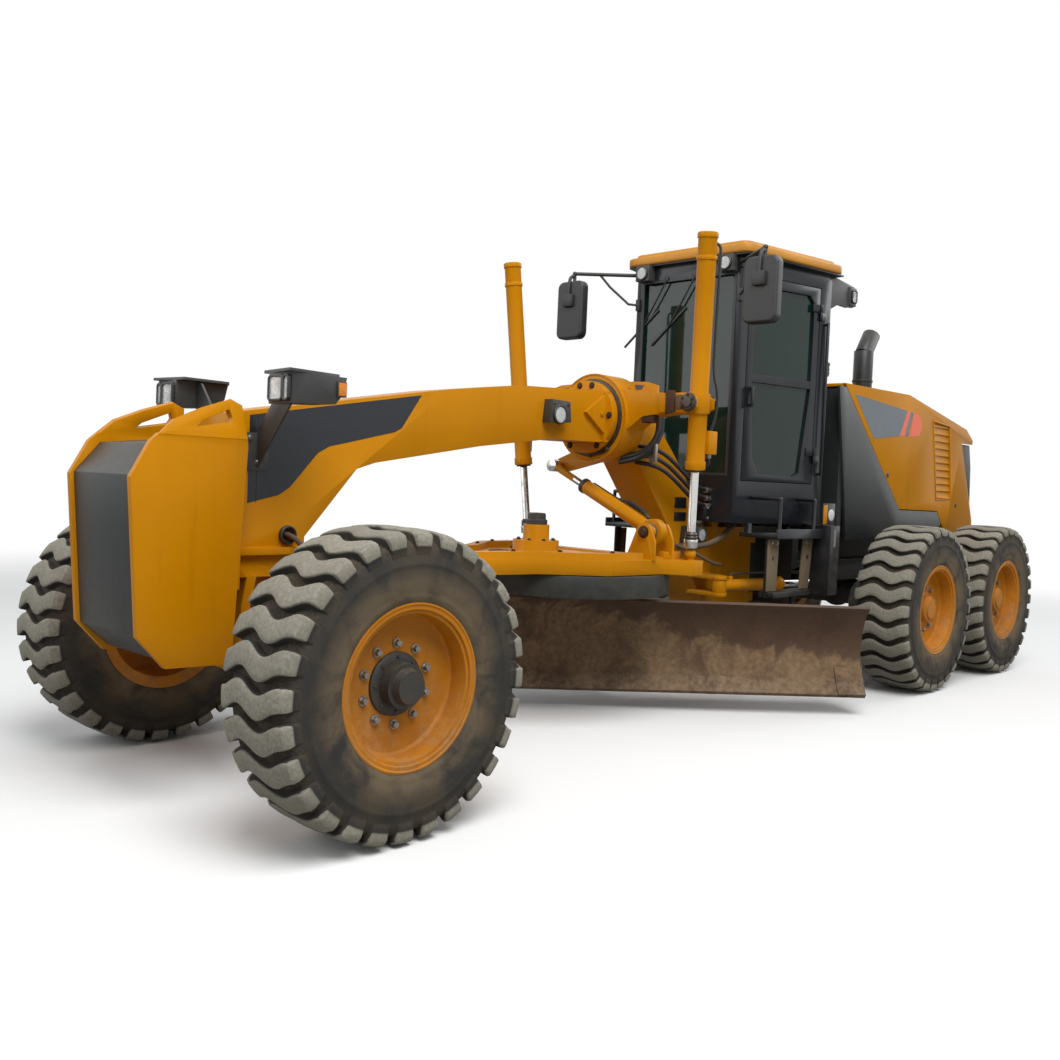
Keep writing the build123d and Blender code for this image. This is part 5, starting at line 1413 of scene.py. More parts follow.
@dataclass
class Boom(Trim):
    """The boom's film, its grommets with their hoses, and the leg's plates and hoses."""

    def build(self) -> None:
        """Dresses the front frame."""
        film = ((0.142, 1.400), (0.061, 1.421), (-0.028, 1.442), (-0.095, 1.484), (-0.253, 1.662), (-0.325, 1.701),
                (-0.418, 1.722), (-0.745, 1.801), (-0.792, 1.826), (-0.925, 2.018), (-0.640, 1.966), (-0.300, 1.905),
                (0.142, 1.825))
        lip = ((0.002, 0.030), (0.010, 0.031), (0.016, 0.036), (0.018, 0.042), (0.014, 0.047), (0.004, 0.049),
               (-0.002, 0.048))
        for side in SIDES:
            self.dress("front_frame", side,
                       Plate("boom_film", Finish.SLATE, 0.1592, 0.1612, film),
                       Box("film_seam", Finish.CAB_BLACK, (0.0935, 0.1600, 1.405), (0.0965, 0.1622, 1.826)),
                       Turned("grommet", Finish.PLASTIC, (-0.083, 0.170, 1.245), lip, tube=True),
                       Box("leg_plate_0", Finish.CAB_BLACK, (-3.500, 0.158, 1.420), (-3.360, 0.166, 1.500), 0.002),
                       Box("leg_plate_1", Finish.CAB_BLACK, (-3.500, 0.158, 1.325), (-3.360, 0.166, 1.390), 0.002),
                       Box("valve_cover", Finish.CAB_BLACK, (-3.780, 0.160, 1.335), (-3.560, 0.300, 1.450), 0.008),
                       Heads("valve_cover_bolts", Finish.BARE_STEEL, 0.009, 0.009,
                             ((-3.585, 0.300, 1.355), (-3.750, 0.300, 1.355), (-3.585, 0.300, 1.430))),
                       Heads("gusset_bolt", Finish.YELLOW, 0.016, 0.010, ((-2.452, 0.188, 2.033),)))
            for i, (x, z, radius) in enumerate(((-0.073, 1.252, 0.013), (-0.094, 1.240, 0.011))):
                route = ((x, 0.110, z), (x, 0.180, z), (x - 0.035, 0.232, z - 0.030), (x - 0.100, 0.244, z - 0.130),
                         (x - 0.120, 0.236, z - 0.260), (x - 0.080, 0.210, z - 0.400), (x - 0.005, 0.200, z - 0.520))
                self.dress("front_frame", side, Hose(f"grommet_hose_{i}", Finish.BROWN_HOSE, radius, route))
        self._hoses()
        log.info("boom: film, grommets, plates and hoses")

    def _hoses(self) -> None:
        """The hoses from the saddle to the leg and on to the cab, with their clamp and fittings."""
        for i, (ahead, rise) in enumerate(((0.0, 0.0), (-0.046, 0.006), (-0.020, 0.030))):
            route = [(x + ahead, y, z + rise) for x, y, z in
                     ((-2.930, 0.300, 2.110), (-2.930, 0.300, 2.030), (-2.922, 0.305, 1.930),
                      (-2.850, 0.290, 1.815), (-2.750, 0.240, 1.745), (-2.700, 0.150, 1.725))]
            self.dress("front_frame", 0, Hose(f"saddle_hose_{i}", Finish.HOSE, 0.0165, route))
        for i, drop in enumerate((0.0, 0.060, 0.115)):
            route = [(x, y, z - drop) for x, y, z in
                     ((-2.900, 0.140, 1.850), (-2.935, 0.270, 1.835), (-3.050, 0.300, 1.790), (-3.210, 0.300, 1.705),
                      (-3.380, 0.295, 1.610), (-3.500, 0.285, 1.565), (-3.625, 0.280, 1.560))]
            self.dress("front_frame", 0,
                       Hose(f"leg_hose_{i}", Finish.HOSE, 0.0155, route),
                       Rod(f"leg_fitting_{i}", Finish.BARE_STEEL, 0.021, (-3.560, 0.282, 1.561 - drop),
                           (-3.622, 0.280, 1.559 - drop), 12, 0.002))
        self.dress("front_frame", 0,
                   Box("hose_clamp", Finish.BARE_STEEL, (-2.912, 0.262, 1.735), (-2.884, 0.322, 1.862), 0.004),
                   Box("hose_clamp_foot", Finish.BARE_STEEL, (-2.910, 0.158, 1.770), (-2.886, 0.270, 1.800), 0.003),
                   Hose("brown_hose", Finish.BROWN_HOSE, 0.021,
                        ((-3.900, 0.330, 1.312), (-3.800, 0.350, 1.270), (-3.700, 0.350, 1.210),
                         (-3.560, 0.330, 1.160), (-3.470, 0.260, 1.142), (-3.430, 0.150, 1.140))),
                   Hose("steering_hose", Finish.BROWN_HOSE, 0.0125,
                        ((-3.300, 0.150, 1.160), (-3.290, 0.230, 1.160), (-3.340, 0.340, 1.120),
                         (-3.450, 0.380, 1.065), (-3.560, 0.380, 1.030), (-3.700, 0.350, 1.012),
                         (-3.820, 0.280, 1.005), (-3.900, 0.150, 1.000))))


@dataclass
class Saddle(Trim):
    """The saddle's bolts, grease, bands and bearing covers."""

    face: float = -2.496
    height: float = 2.020

    def build(self) -> None:
        """Dresses the saddle and the boom's disc in front of it."""
        centre, ahead = (0.0, 0.0, self.height), tuple(AHEAD)
        disc = ((0.054, 2.232), (-0.054, 2.232), (0.216, 2.030), (-0.216, 2.030), (0.120, 1.828), (-0.120, 1.828))
        seam = ((-2.571, 0.200), (-2.552, 0.200), (-2.552, 0.247), (-2.558, 0.262), (-2.569, 0.266))
        rim = ((-2.572, 0.292), (-2.566, 0.292), (-2.566, 0.300), (-2.572, 0.301))
        self.dress("saddle", 0,
                   Heads("disc_bolts", Finish.RUST, 0.017, 0.013, [(self.face, y, z) for y, z in disc], ahead),
                   Turned("greasy_seam", Finish.GREASE, centre, seam, ahead, 72, True),
                   Turned("ring_edge", Finish.YELLOW, centre, rim, ahead, 72, True))
        grease = Shape()
        for i, (y, z, wide, tall) in enumerate(((0.0, 1.778, 0.05, 0.020), (0.075, 1.786, 0.06, 0.016),
                                                (-0.070, 1.787, 0.06, 0.015), (0.135, 1.808, 0.04, 0.013),
                                                (0.010, 1.768, 0.020, 0.018), (-0.140, 1.812, 0.04, 0.012))):
            grease.lump(self.shop.at(-2.560, y, z), Vector((0.016, wide, tall)), 3.1 * i + 1.7)
        self.shop.settle("grease", grease, Finish.GREASE, self.shop.body_of("saddle"), smooth=UNEVEN)
        for side in SIDES:
            self._yoke(side)
        log.info("saddle: bolts, grease and bearing covers")

    def _yoke(self, side: int) -> None:
        """One lift arm's rusty band and greasy bearing covers, and a black sheet of painted shade over its slot."""
        self.dress("saddle", side,
                   Section("yoke_band", Finish.RUST, -2.5775, -2.5655,
                           ((0.616, 2.190), (0.690, 2.188), (0.694, 2.050), (0.620, 2.034)), 0.004),
                   Section("yoke_pad", Finish.SOIL, -2.5775, -2.5610,
                           ((0.700, 2.160), (0.744, 2.160), (0.744, 2.066), (0.700, 2.066)), 0.006),
                   # A thin black sheet over the lift arm's slot: painted shade where the opening is dark.
                   Section("arm_slot", Finish.CAB_BLACK, -2.6665, -2.6640,
                           ((0.285, 2.244), (0.365, 2.240), (0.345, 2.212), (0.300, 2.212))),
                   Box("stop_block", Finish.RUST, (-2.660, 0.405, 1.985), (-2.600, 0.505, 2.040), 0.006))
        cap = ((-0.002, 0.0), (-0.002, 0.060), (0.010, 0.060), (0.014, 0.054), (0.015, 0.034), (0.026, 0.031),
               (0.028, 0.0))
        y, z = 0.7957, 2.110
        for label, x, way in (("front", -2.5750, 1), ("back", -2.7920, -1)):
            spots = [(x + 0.013 * way, y + u, z + v) for u, v in circle_points(6, 0.046, 0.5)]
            self.dress("saddle", side,
                       Turned(f"bearing_cover_{label}", Finish.GREASE, (x, y, z), cap, (way, 0, 0), 36),
                       Heads(f"bearing_bolts_{label}", Finish.RUST, 0.008, 0.009, spots, (way, 0, 0)))


@dataclass
class Cylinders(Trim):
    """The pipes, bands, guards and boots of the hydraulic cylinders."""

    ball: Point = (-2.760, 0.735, 1.140)
    top: Point = (-2.600, 0.862, 3.170)
    swing_base: Point = (-2.590, 0.560, 1.275)
    swing_eye: Point = (-2.670, -0.420, 1.690)
    steer_base: Point = (-3.640, 0.395, 0.860)
    steer_eye: Point = (-4.800, 0.560, 0.860)
    coils: int = 12
    coil_steps: int = 12

    def _axis(self, first: Point, second: Point, side: int = 1) -> Tuple[Vector, Vector]:
        """Where a cylinder's axis starts, and its direction."""
        start, end = self.shop.path((first, second), side)
        return start, (end - start).normalized()

    def _lift(self, side: int, word: str) -> None:
        """One lift cylinder."""
        shop, body = self.shop, self.shop.body_of(f"lift_barrel_{word}")
        foot, way = self._axis(self.ball, self.top, side)
        length = (Vector(self.top) - Vector(self.ball)).length

        def spot(height: float, ahead: float = 0.0, out: float = 0.0) -> Vector:
            """A point beside the axis at a height."""
            share = (height - self.ball[2]) / (self.top[2] - self.ball[2])
            return foot + way * length * share + Vector((ahead, out * side, 0))

        band = ((0.0, 0.0600), (0.0, 0.0660), (0.026, 0.0660), (0.026, 0.0600))
        wiper = ((-0.012, 0.0285), (-0.012, 0.050), (0.004, 0.058), (0.004, 0.0285))
        boot = ((0.092, 0.0275), (0.092, 0.044), (0.106, 0.040), (0.114, 0.043), (0.124, 0.038), (0.134, 0.040),
                (0.150, 0.0275))
        for label, kind, profile, centre, segments, bevel, rider in (
                ("pipe_band", Finish.YELLOW, band, spot(3.000), 40, 0.002, body),
                ("lift_wiper", Finish.HUB, wiper, spot(1.690), 40, 0.0, body),
                ("rod_boot", Finish.GREASE, boot, foot, 36, 0.0, shop.body_of(f"lift_rod_{word}"))):
            shop.settle(f"{label}_{word}", Shape().lathe(profile, centre, way, segments), kind, rider, bevel)
        for label, kind, radius, route in (
                ("lift_pipe", Finish.DARK_STEEL, 0.0095,
                 ((3.110, -0.058, 0.020), (3.110, -0.082, 0.045), (3.020, -0.078, 0.050), (2.500, -0.070, 0.050),
                  (2.300, -0.070, 0.050), (2.200, -0.095, 0.075), (2.020, -0.095, 0.075), (1.930, -0.075, 0.050))),
                ("gland_hose", Finish.HOSE, 0.010,
                 ((1.770, -0.070, 0.052), (1.735, -0.072, 0.056), (1.715, -0.072, 0.040), (1.712, -0.060, 0.006)))):
            shop.hose(f"{label}_{word}", [spot(*step) for step in route], radius, kind, body)
        seat = spot(1.790, -0.075, 0.050)
        valve = Shape().block(seat - Vector((0.045, 0.018, 0)), seat + Vector((0.045, 0.030, 0.150)))
        shop.settle(f"lift_valve_{word}", valve, Finish.YELLOW, body, 0.006)
        fitting = Shape().bar(spot(1.765, -0.070, 0.052), spot(1.800, -0.070, 0.052), 0.017, 6)
        shop.settle(f"lift_fitting_{word}", fitting, Finish.BARE_STEEL, body, 0.002)

    def _swing(self) -> None:
        """The swing cylinder: the painted end of its rod, its gland and its guarded hose."""
        shop, body = self.shop, self.shop.body_of("swing_barrel")
        start, way = self._axis(self.swing_base, self.swing_eye)
        sleeve = ((0.820, 0.0238), (0.820, 0.0244), (1.028, 0.0244), (1.028, 0.0238))
        shop.settle("rod_paint", Shape().lathe(sleeve, start, way, 36), Finish.YELLOW, shop.body_of("swing_rod"))
        gland = ((0.690, 0.0265), (0.690, 0.0500), (0.700, 0.0530), (0.722, 0.0530), (0.727, 0.0480), (0.727, 0.0265))
        shop.settle("swing_gland", Shape().lathe(gland, start, way, 40), Finish.HUB, body)
        lift = (UP - way * way.z).normalized()
        side = way.cross(lift)

        def above(distance: float, rise: float, out: float) -> Vector:
            """A point over the barrel."""
            return start + way * distance + lift * rise + side * out

        steps = self.coils * self.coil_steps
        angles = [2 * math.pi * i / self.coil_steps for i in range(steps + 1)]
        coil = [(0.320 - 0.190 * i / steps, 0.067 + 0.0150 * math.cos(angle), 0.028 + 0.0150 * math.sin(angle))
                for i, angle in enumerate(angles)]
        for name, kind, radius, bend, route in (
                ("swing_pipe", Finish.DARK_STEEL, 0.0075, True,
                 ((0.690, 0.020, 0.030), (0.690, 0.034, 0.050), (0.660, 0.034, 0.052), (0.420, 0.034, 0.052),
                  (0.380, 0.044, 0.044))),
                ("swing_hose", Finish.HOSE, 0.0110, True,
                 ((0.385, 0.044, 0.044), (0.340, 0.058, 0.036), (0.280, 0.066, 0.030), (0.180, 0.070, 0.026),
                  (0.120, 0.066, 0.020), (0.090, 0.050, 0.008))),
                ("swing_spring_guard", Finish.DARK_STEEL, 0.0028, False, coil)):
            shop.hose(name, [above(*step) for step in route], radius, kind, body, bend)
        fitting = Shape().bar(above(0.372, 0.0445, 0.044), above(0.412, 0.038, 0.050), 0.0145, 6)
        shop.settle("swing_fitting", fitting, Finish.DARK_STEEL, body, 0.002)
        pin = Heads("swing_pin_head", Finish.RUST, 0.030, 0.024, ((-2.4805, 0.560, 1.275),), tuple(AHEAD))
        self.dress("drawbar", 0, pin)

    def _steer(self, side: int, word: str) -> None:
        """One articulation cylinder's hose ends."""
        shop, body = self.shop, self.shop.body_of(f"steer_barrel_{word}")
        start, way = self._axis(self.steer_base, self.steer_eye, side)
        for i, distance in enumerate((0.120, 0.600)):
            spot = start + way * distance
            port = Shape().bar(spot + UP * 0.040, spot + UP * 0.070, 0.019, 6)
            shop.settle(f"steer_port_{i}_{word}", port, Finish.YELLOW, body, 0.002)
        pipe = [start + way * distance + UP * rise for distance, rise in
                ((0.120, 0.066), (0.120, 0.086), (0.180, 0.088), (0.540, 0.088), (0.600, 0.086), (0.600, 0.066))]
        shop.hose(f"steer_pipe_{word}", pipe, 0.0085, Finish.DARK_STEEL, body)

    def build(self) -> None:
        """Dresses every cylinder."""
        for side, word in SIDES.items():
            self._lift(side, word)
            self._steer(side, word)
        self._swing()
        log.info("cylinders: pipes, bands, guards and boots")


@dataclass
class Drawbar(Trim):
    """The drawbar's caked soil, its bolts and its notched blocks."""

    def build(self) -> None:
        """Dresses the drawbar."""
        up = tuple(UP)
        notched = ((-2.780, 1.098), (-2.600, 1.098), (-2.600, 1.150), (-2.650, 1.150), (-2.660, 1.122),
                   (-2.700, 1.122), (-2.712, 1.150), (-2.780, 1.150))
        rail = ((-1.300, 0.150, 1.142), (-1.620, 0.240, 1.142), (-1.900, 0.370, 1.142), (-2.200, 0.540, 1.142))
        cakes = ((-2.330, 0.330, 1.112, 0.075, 0.040), (-2.300, 0.400, 1.112, 0.050, 0.032),
                 (-1.980, 0.250, 1.100, 0.090, 0.045), (-2.700, 0.520, 1.100, 0.060, 0.050),
                 (-1.700, 0.190, 1.100, 0.060, 0.030), (-2.450, 0.480, 1.100, 0.060, 0.040))
        for side, word in SIDES.items():
            soil = Shape()
            for i, (x, y, z, wide, deep) in enumerate(cakes):
                soil.lump(self.shop.at(x, y * side, z), Vector((wide, deep, 0.011)), 2.3 * i + side)
            self.shop.settle(f"drawbar_soil_{word}", soil, Finish.SOIL, self.shop.body_of("drawbar"), smooth=UNEVEN)
            self.dress("drawbar", side,
                       Plate("notched_block", Finish.YELLOW, 0.600, 0.645, notched, 0.003),
                       Heads("rail_bolts", Finish.RUST, 0.013, 0.012, rail, up))
        motor = ((0.0, 0.0), (0.0, 0.070), (0.030, 0.070), (0.036, 0.060), (0.070, 0.058), (0.076, 0.050), (0.078, 0.0))
        spots = [(-2.070 + u, v, 1.190) for u, v in circle_points(8, 0.122, 0.5)]
        self.dress("drawbar", 0,
                   Heads("gearbox_bolts", Finish.RUST, 0.012, 0.012, spots, up),
                   Turned("turn_motor", Finish.HUB, (-2.070, 0, 1.289), motor, up, 40))
        log.info("drawbar: soil, blocks and bolts")


@dataclass
class Cab(Trim):
    """The cab's seals, mirrors' clamps and glass, wipers, straps, tag and roof brow."""

    def build(self) -> None:
        """Dresses the cab and the steps."""
        shop = self.shop
        brow = [shop.at(x, y, 3.266) for x, y in ((-3.578, 0.540), (-4.660, 0.730), (-4.660, -0.730), (-3.578, -0.540))]
        under = Shape().prism(brow, UP * 0.0145)
        shop.settle("roof_underside", under, Finish.CAB_BLACK, shop.body_of("cab_frame"), 0.003)
        self._screens()
        for side in SIDES:
            self._mirror(side)
            self._step(side)
            self.dress("cab_frame", side, Hose("roof_hose", Finish.HOSE, 0.014, (
                (-4.560, 0.560, 3.262), (-4.690, 0.590, 3.270), (-4.820, 0.610, 3.262), (-4.880, 0.615, 3.215),
                (-4.820, 0.615, 3.165), (-4.700, 0.600, 3.160), (-4.560, 0.570, 3.150))))
        log.info("cab: seals, mirrors, steps and tag")

    def _screens(self) -> None:
        """The windscreen's seal with its two wipers, and the rear window's seal."""
        for name, x, wide, low, high, depth in (("front", -3.6235, 0.418, 1.680, 3.150, 0.008),
                                                ("rear", -4.5665, 0.570, 2.000, 3.110, -0.008)):
            outer, inner = ([(x, wide + out, low - out), (x, -wide - out, low - out), (x, -wide - out, high + out),
                             (x, wide + out, high + out)] for out in (0.012, -0.010))
            self.dress("cab_frame", 0,
                       Border(f"{name}_window_seal", Finish.PLASTIC, outer, inner, (depth, 0, 0), 0.003))
        for i, y in enumerate((0.060, -0.200)):
            arm = ((-3.622, y, 3.165), (-3.612, y, 3.150), (-3.616, y - 0.120, 2.960), (-3.634, y - 0.240, 2.800))
            blade = ((y - 0.080, 2.930), (y - 0.395, 2.662), (y - 0.405, 2.672), (y - 0.090, 2.942))
            self.dress("cab_frame", 0,
                       Hose(f"wiper_arm_{i}", Finish.CAB_BLACK, 0.007, arm, bend=False),
                       Section(f"wiper_blade_{i}", Finish.PLASTIC, -3.632, -3.644, blade),
                       Rod(f"wiper_pivot_{i}", Finish.PLASTIC, 0.020, (-3.622, y, 3.168), (-3.606, y, 3.168), 20,
                           0.003))

    def _mirror(self, side: int) -> None:
        """One mirror's glass, clamp and brace."""
        self.dress("mirrors", side,
                   Box("mirror_glass", Finish.MIRROR, (-3.3100, 0.745, 2.735), (-3.3065, 0.967, 3.115), 0.001),
                   Box("mirror_clamp", Finish.PLASTIC, (-3.250, 0.806, 2.945), (-3.206, 0.906, 3.045), 0.014),
                   Hose("mirror_tube", Finish.PLASTIC, 0.0135,
                        ((-3.290, 0.856, 3.200), (-3.262, 0.856, 3.192), (-3.228, 0.856, 3.160),
                         (-3.224, 0.856, 3.040))),
                   Hose("mirror_brace", Finish.PLASTIC, 0.0095,
                        ((-3.608, 0.468, 2.985), (-3.560, 0.520, 2.990), (-3.470, 0.640, 3.120),
                         (-3.420, 0.700, 3.208)), bend=False),
                   Box("brace_foot", Finish.PLASTIC, (-3.622, 0.448, 2.940), (-3.602, 0.482, 3.030), 0.003))

    def _step(self, side: int) -> None:
        """One side's straps, tag plate and reflector."""
        half = 0.074
        for i, (x, lean) in enumerate(((-3.838, 0.0), (-4.340, 0.030))):
            outline = ((x - half, 1.222), (x + half, 1.226), (x + half + lean, 0.846), (x - half + lean + 0.012, 0.842))
            self.dress("steps", side,
                       Plate(f"strap_{i}", Finish.STRAP, 0.7062, 0.7180, outline, 0.003),
                       Heads(f"strap_bolts_{i}", Finish.BARE_STEEL, 0.012, 0.010,
                             ((x - 0.035, 0.718, 1.196), (x + 0.035, 0.718, 1.198))),
                       Rod(f"strap_hole_{i}", Finish.CAB_BLACK, 0.016, (x + 0.005, 0.7170, 1.085),
                           (x + 0.005, 0.7188, 1.085), 20))
        disc = ((-0.001, 0.0), (-0.001, 0.046), (0.004, 0.045), (0.006, 0.040), (0.0065, 0.0))
        self.dress("steps", side,
                   Box("tag_plate", Finish.CAB_BLACK, (-4.590, 0.790, 1.320), (-4.395, 0.797, 1.500), 0.002),
                   Box("blank_tag", Finish.YELLOW, (-4.465, 0.7965, 1.340), (-4.405, 0.7995, 1.486), 0.001),
                   Turned("white_reflector", Finish.WHITE, (-4.530, 0.797, 1.410), disc, segments=36),
                   Box("box_strip", Finish.BARE_STEEL, (-4.500, 0.859, 1.170), (-4.470, 0.8615, 1.300)),
                   Box("step_grip", Finish.DARK_STEEL, (-4.370, 0.640, 1.262), (-3.770, 0.785, 1.266), 0.001))


@dataclass
class Chair(Trim):
    """The driver's chair: padded seat and back on a sprung pedestal."""

    rake: float = -9.5

    def build(self) -> None:
        """Builds the chair that stands for its node."""
        shop, body = self.shop, self.shop.body_of("operator_chair")
        seat = Shape().pillow(shop.at(-4.398, -0.243, 1.768), shop.at(-3.932, 0.243, 1.882), 2, 2)
        cushion = shop.settle("chair_seat", seat, Finish.CLOTH, body, smooth=CURVED)
        lean = Matrix.Translation(shop.at(-4.330, 0, 1.880)) @ Matrix.Rotation(math.radians(self.rake), 4, "Y")
        back = Shape().pillow(Vector((-0.055, -0.228, 0.0)), Vector((0.055, 0.228, 0.600)), 0, 2).moved(lean)
        rest = shop.settle("chair_back", back, Finish.CLOTH, body, smooth=CURVED)
        self.dress("operator_chair", 0,
                   Box("chair_tray", Finish.PLASTIC, (-4.380, -0.225, 1.735), (-3.950, 0.225, 1.775), 0.012),
                   Box("chair_stand", Finish.PLASTIC, (-4.320, -0.140, 1.402), (-4.020, 0.140, 1.740), 0.02))
        for side in SIDES:
            self.dress("operator_chair", side,
                       Box("chair_arm", Finish.PLASTIC, (-4.310, 0.252, 1.960), (-4.020, 0.300, 1.992), 0.014),
                       Box("chair_arm_post", Finish.PLASTIC, (-4.310, 0.236, 1.830), (-4.270, 0.262, 1.985), 0.006))
        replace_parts(cushion, "operator_chair")
        log.info("chair: seat, back, arms and stand")


@dataclass
class Rear(Trim):
    """The hood's films, its latches, and the bands of the stack and the air cleaner."""

    def build(self) -> None:
        """Dresses the hood, the exhaust and the air cleaner."""
        films = (
            ("smoke_film", Finish.SMOKE, ((-5.075, 2.398), (-6.093, 2.341), (-5.957, 2.111), (-5.455, 2.058))),
            ("stripe_narrow", Finish.STRIPE, ((-6.093, 2.341), (-6.156, 2.338), (-6.060, 2.118), (-5.957, 2.111))),
            ("stripe_gap", Finish.SMOKE, ((-6.156, 2.338), (-6.221, 2.334), (-6.123, 2.113), (-6.060, 2.118))),
            ("stripe_wide", Finish.STRIPE, ((-6.221, 2.334), (-6.330, 2.322), (-6.392, 2.286), (-6.412, 2.215),
                                            (-6.365, 2.140), (-6.165, 2.115))),
        )
        outer, inner = ([(x, 0.6695, z) for x, z in ring] for ring in (
            ((-6.655, 2.305), (-7.066, 2.280), (-7.176, 1.575), (-6.815, 1.555)),
            ((-6.670, 2.290), (-7.050, 2.265), (-7.160, 1.590), (-6.830, 1.570))))
        latch = ((-0.001, 0.0), (-0.001, 0.022), (0.004, 0.021), (0.006, 0.014), (0.007, 0.0))
        for side in SIDES:
            self.dress("hood", side,
                       *(Plate(name, kind, 0.6692, 0.6713, outline) for name, kind, outline in films),
                       Border("vent_frame", Finish.YELLOW, outer, inner, (0, 0.006, 0), 0.0015),
                       Turned("latch_0", Finish.PLASTIC, (-5.760, 0.670, 1.760), latch, segments=28),
                       Turned("latch_1", Finish.PLASTIC, (-7.300, 0.670, 1.520), latch, segments=28))
        up, (x, y) = tuple(UP), (-5.450, 0.060)
        cap = ((0.0, 0.0), (0.0, 0.152), (0.010, 0.156), (0.022, 0.152), (0.030, 0.120), (0.032, 0.0))
        band = ((0.0, 0.1500), (0.0, 0.1535), (0.008, 0.1535), (0.008, 0.1500))
        self.dress("air_cleaner", 0,
                   Turned("precleaner_cap", Finish.PLASTIC, (x, y, 2.6985), cap, up),
                   Turned("precleaner_band_0", Finish.CAB_BLACK, (x, y, 2.630), band, up, tube=True),
                   Turned("precleaner_band_1", Finish.CAB_BLACK, (x, y, 2.660), band, up, tube=True))
        clamp = ((0.0, 0.0845), (0.0, 0.0900), (0.022, 0.0900), (0.022, 0.0845))
        self.dress("exhaust", 0,
                   Turned("stack_band", Finish.DARK_STEEL, (-5.940, 0.300, 2.590), clamp, up, tube=True, bevel=0.001))
        log.info("rear: films, vent frames, latches and bands")


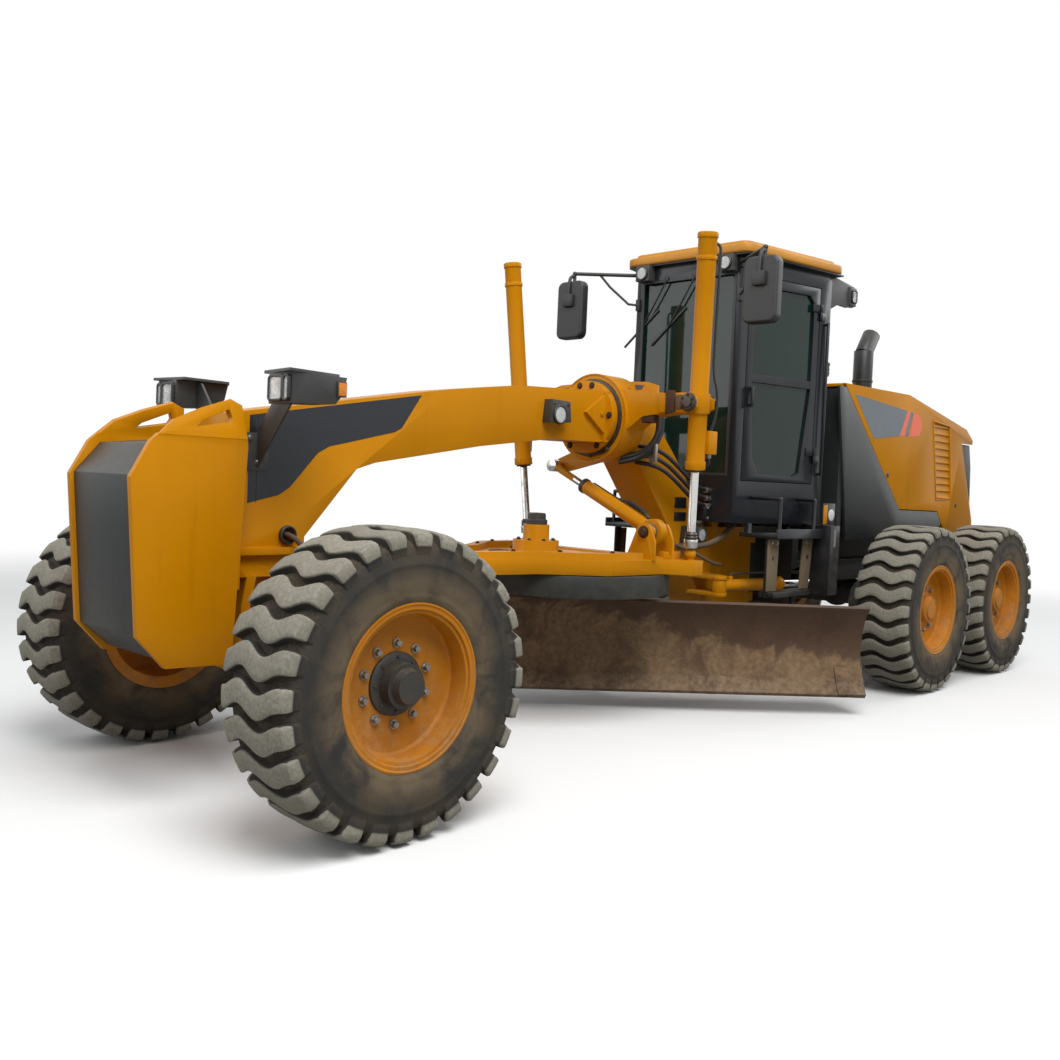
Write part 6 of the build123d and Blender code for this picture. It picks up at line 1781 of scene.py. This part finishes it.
@dataclass
class Studio:
    """The floor, the light and the camera."""

    shop: Workshop
    eye: Point = (2.7943, 4.5873, 1.5616)
    yaw: float = -136.852
    pitch: float = -1.937
    roll: float = 2.556
    lens: float = 34.93
    sensor: float = 36.0
    shift: Flat = (-0.0094, -0.0119)
    far: float = 200.0
    sky: float = 0.34
    bounce: float = 0.38
    ground: float = 60.0

    def camera(self) -> None:
        """Puts the camera where the photograph was taken from."""
        yaw, pitch, roll = (math.radians(value) for value in (self.yaw, self.pitch, self.roll))
        ahead = Vector((math.cos(yaw) * math.cos(pitch), math.sin(yaw) * math.cos(pitch), math.sin(pitch)))
        right = ahead.cross(UP).normalized()
        up = right.cross(ahead)
        tilted_right = right * math.cos(roll) + up * math.sin(roll)
        tilted_up = up * math.cos(roll) - right * math.sin(roll)
        data = bpy.data.cameras.new("camera")
        data.lens = self.lens
        data.sensor_width = self.sensor
        data.shift_x, data.shift_y = self.shift
        data.clip_end = self.far
        camera = linked("camera", data)
        turn = Matrix((tilted_right, tilted_up, -ahead)).transposed().to_4x4()
        camera.matrix_world = Matrix.Translation(self.shop.at(*self.eye)) @ turn
        bpy.context.scene.camera = camera

    def lamp(self, name: str, spot: Point, aim: Point, size: float, power: float) -> None:
        """Adds a soft square lamp.

        Args:
            name: the lamp's name.
            spot: where it hangs.
            aim: what it points at.
            size: its width, in metres.
            power: its power, in watts.
        """
        data = bpy.data.lights.new(name, "AREA")
        data.size = size
        data.energy = power
        start, end = self.shop.path((spot, aim))
        turn = (end - start).to_track_quat("-Z", "Y").to_matrix().to_4x4()
        linked(name, data).matrix_world = Matrix.Translation(start) @ turn

    def world(self) -> None:
        """A pale sky that gives soft light, and white where the camera, gloss or glass sees it."""
        world = bpy.data.worlds.new("sky")
        world.use_nodes = True
        tree = world.node_tree
        tree.nodes.clear()
        path = tree.nodes.new("ShaderNodeLightPath")
        seen = path.outputs["Is Camera Ray"]
        for ray in ("Is Glossy Ray", "Is Transmission Ray"):
            either = tree.nodes.new("ShaderNodeMath")
            either.operation = "MAXIMUM"
            tree.links.new(seen, either.inputs[0])
            tree.links.new(path.outputs[ray], either.inputs[1])
            seen = either.outputs[0]
        mix = tree.nodes.new("ShaderNodeMixShader")
        tree.links.new(seen, mix.inputs[0])
        for i, (colour, strength) in enumerate((((0.93, 0.96, 1.0, 1.0), self.sky), ((1.0, 1.0, 1.0, 1.0), 1.0))):
            light = tree.nodes.new("ShaderNodeBackground")
            light.inputs[0].default_value = colour
            light.inputs[1].default_value = strength
            tree.links.new(light.outputs[0], mix.inputs[i + 1])
        tree.links.new(mix.outputs[0], tree.nodes.new("ShaderNodeOutputWorld").inputs[0])
        bpy.context.scene.world = world

    def floor(self) -> None:
        """A plain pale floor that fades to white behind the machine."""
        mix = Recipe("pale_floor")
        cloud = mix.noise(mix.place(), 0.35, 3.0)
        seen = mix.node("ShaderNodeLightPath", output="Is Camera Ray")
        near = mix.blend(cloud, (0.90, 0.90, 0.89), (0.95, 0.95, 0.94))
        mix.set(Base_Color=mix.blend(seen, (self.bounce, self.bounce, self.bounce * 0.97), near), Roughness=0.9,
                Specular_IOR_Level=0.0)
        white = mix.node("ShaderNodeEmission", sockets={"Color": (1.0, 1.0, 1.0), "Strength": 1.0})
        spot = mix.node("ShaderNodeNewGeometry", output="Position")
        away = mix.node("ShaderNodeVectorMath", {"operation": "LENGTH"}, {0: spot}, "Value")
        veil = mix.node("ShaderNodeMixShader", sockets={0: away.ramp(6.0, 15.0) * seen,
                                                        1: Signal(mix, mix.shader.outputs[0]), 2: white})
        mix.tree.links.new(veil.socket, mix.output.inputs[0])
        half = self.ground
        corners = [Vector((x * half, y * half, 0)) for x, y in ((-1, -1), (1, -1), (1, 1), (-1, 1))]
        floor = linked("floor", Shape().prism(corners, UP * -0.05).done("floor"))
        floor.data.materials.append(mix.material)

    def build(self) -> None:
        """Sets up floor, light and camera."""
        self.camera()
        self.world()
        self.floor()
        self.lamp("key", (1.5, 6.5, 11.0), (-3.0, 0.0, 1.0), 8.0, 1450.0)
        self.lamp("fill", (7.5, -6.0, 6.0), (-2.0, 0.0, 1.2), 8.0, 330.0)
        self.lamp("back", (-12.0, 3.0, 8.0), (-4.0, 0.0, 1.2), 7.0, 350.0)
        bpy.context.scene.view_settings.view_transform = "Standard"
        log.info("studio: camera, floor and three lamps")


def main() -> None:
    """Loads the frame and builds every sub-assembly in order."""
    logging.basicConfig(level=logging.INFO, format="%(name)s: %(message)s")
    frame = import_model()
    shop = Workshop(frame)
    bolts = Fasteners(shop)
    for assembly in (Studio(shop), Wheels(shop, bolts), Nodes(shop), Blade(shop)):
        assembly.build()
    for trim in (Lamps, Boom, Saddle, Cylinders, Drawbar, Cab, Chair, Rear):
        trim(shop, bolts).build()
    bpy.context.view_layer.update()
    log.info("pieces: %d", shop.count)


if __name__ == "__main__":
    main()
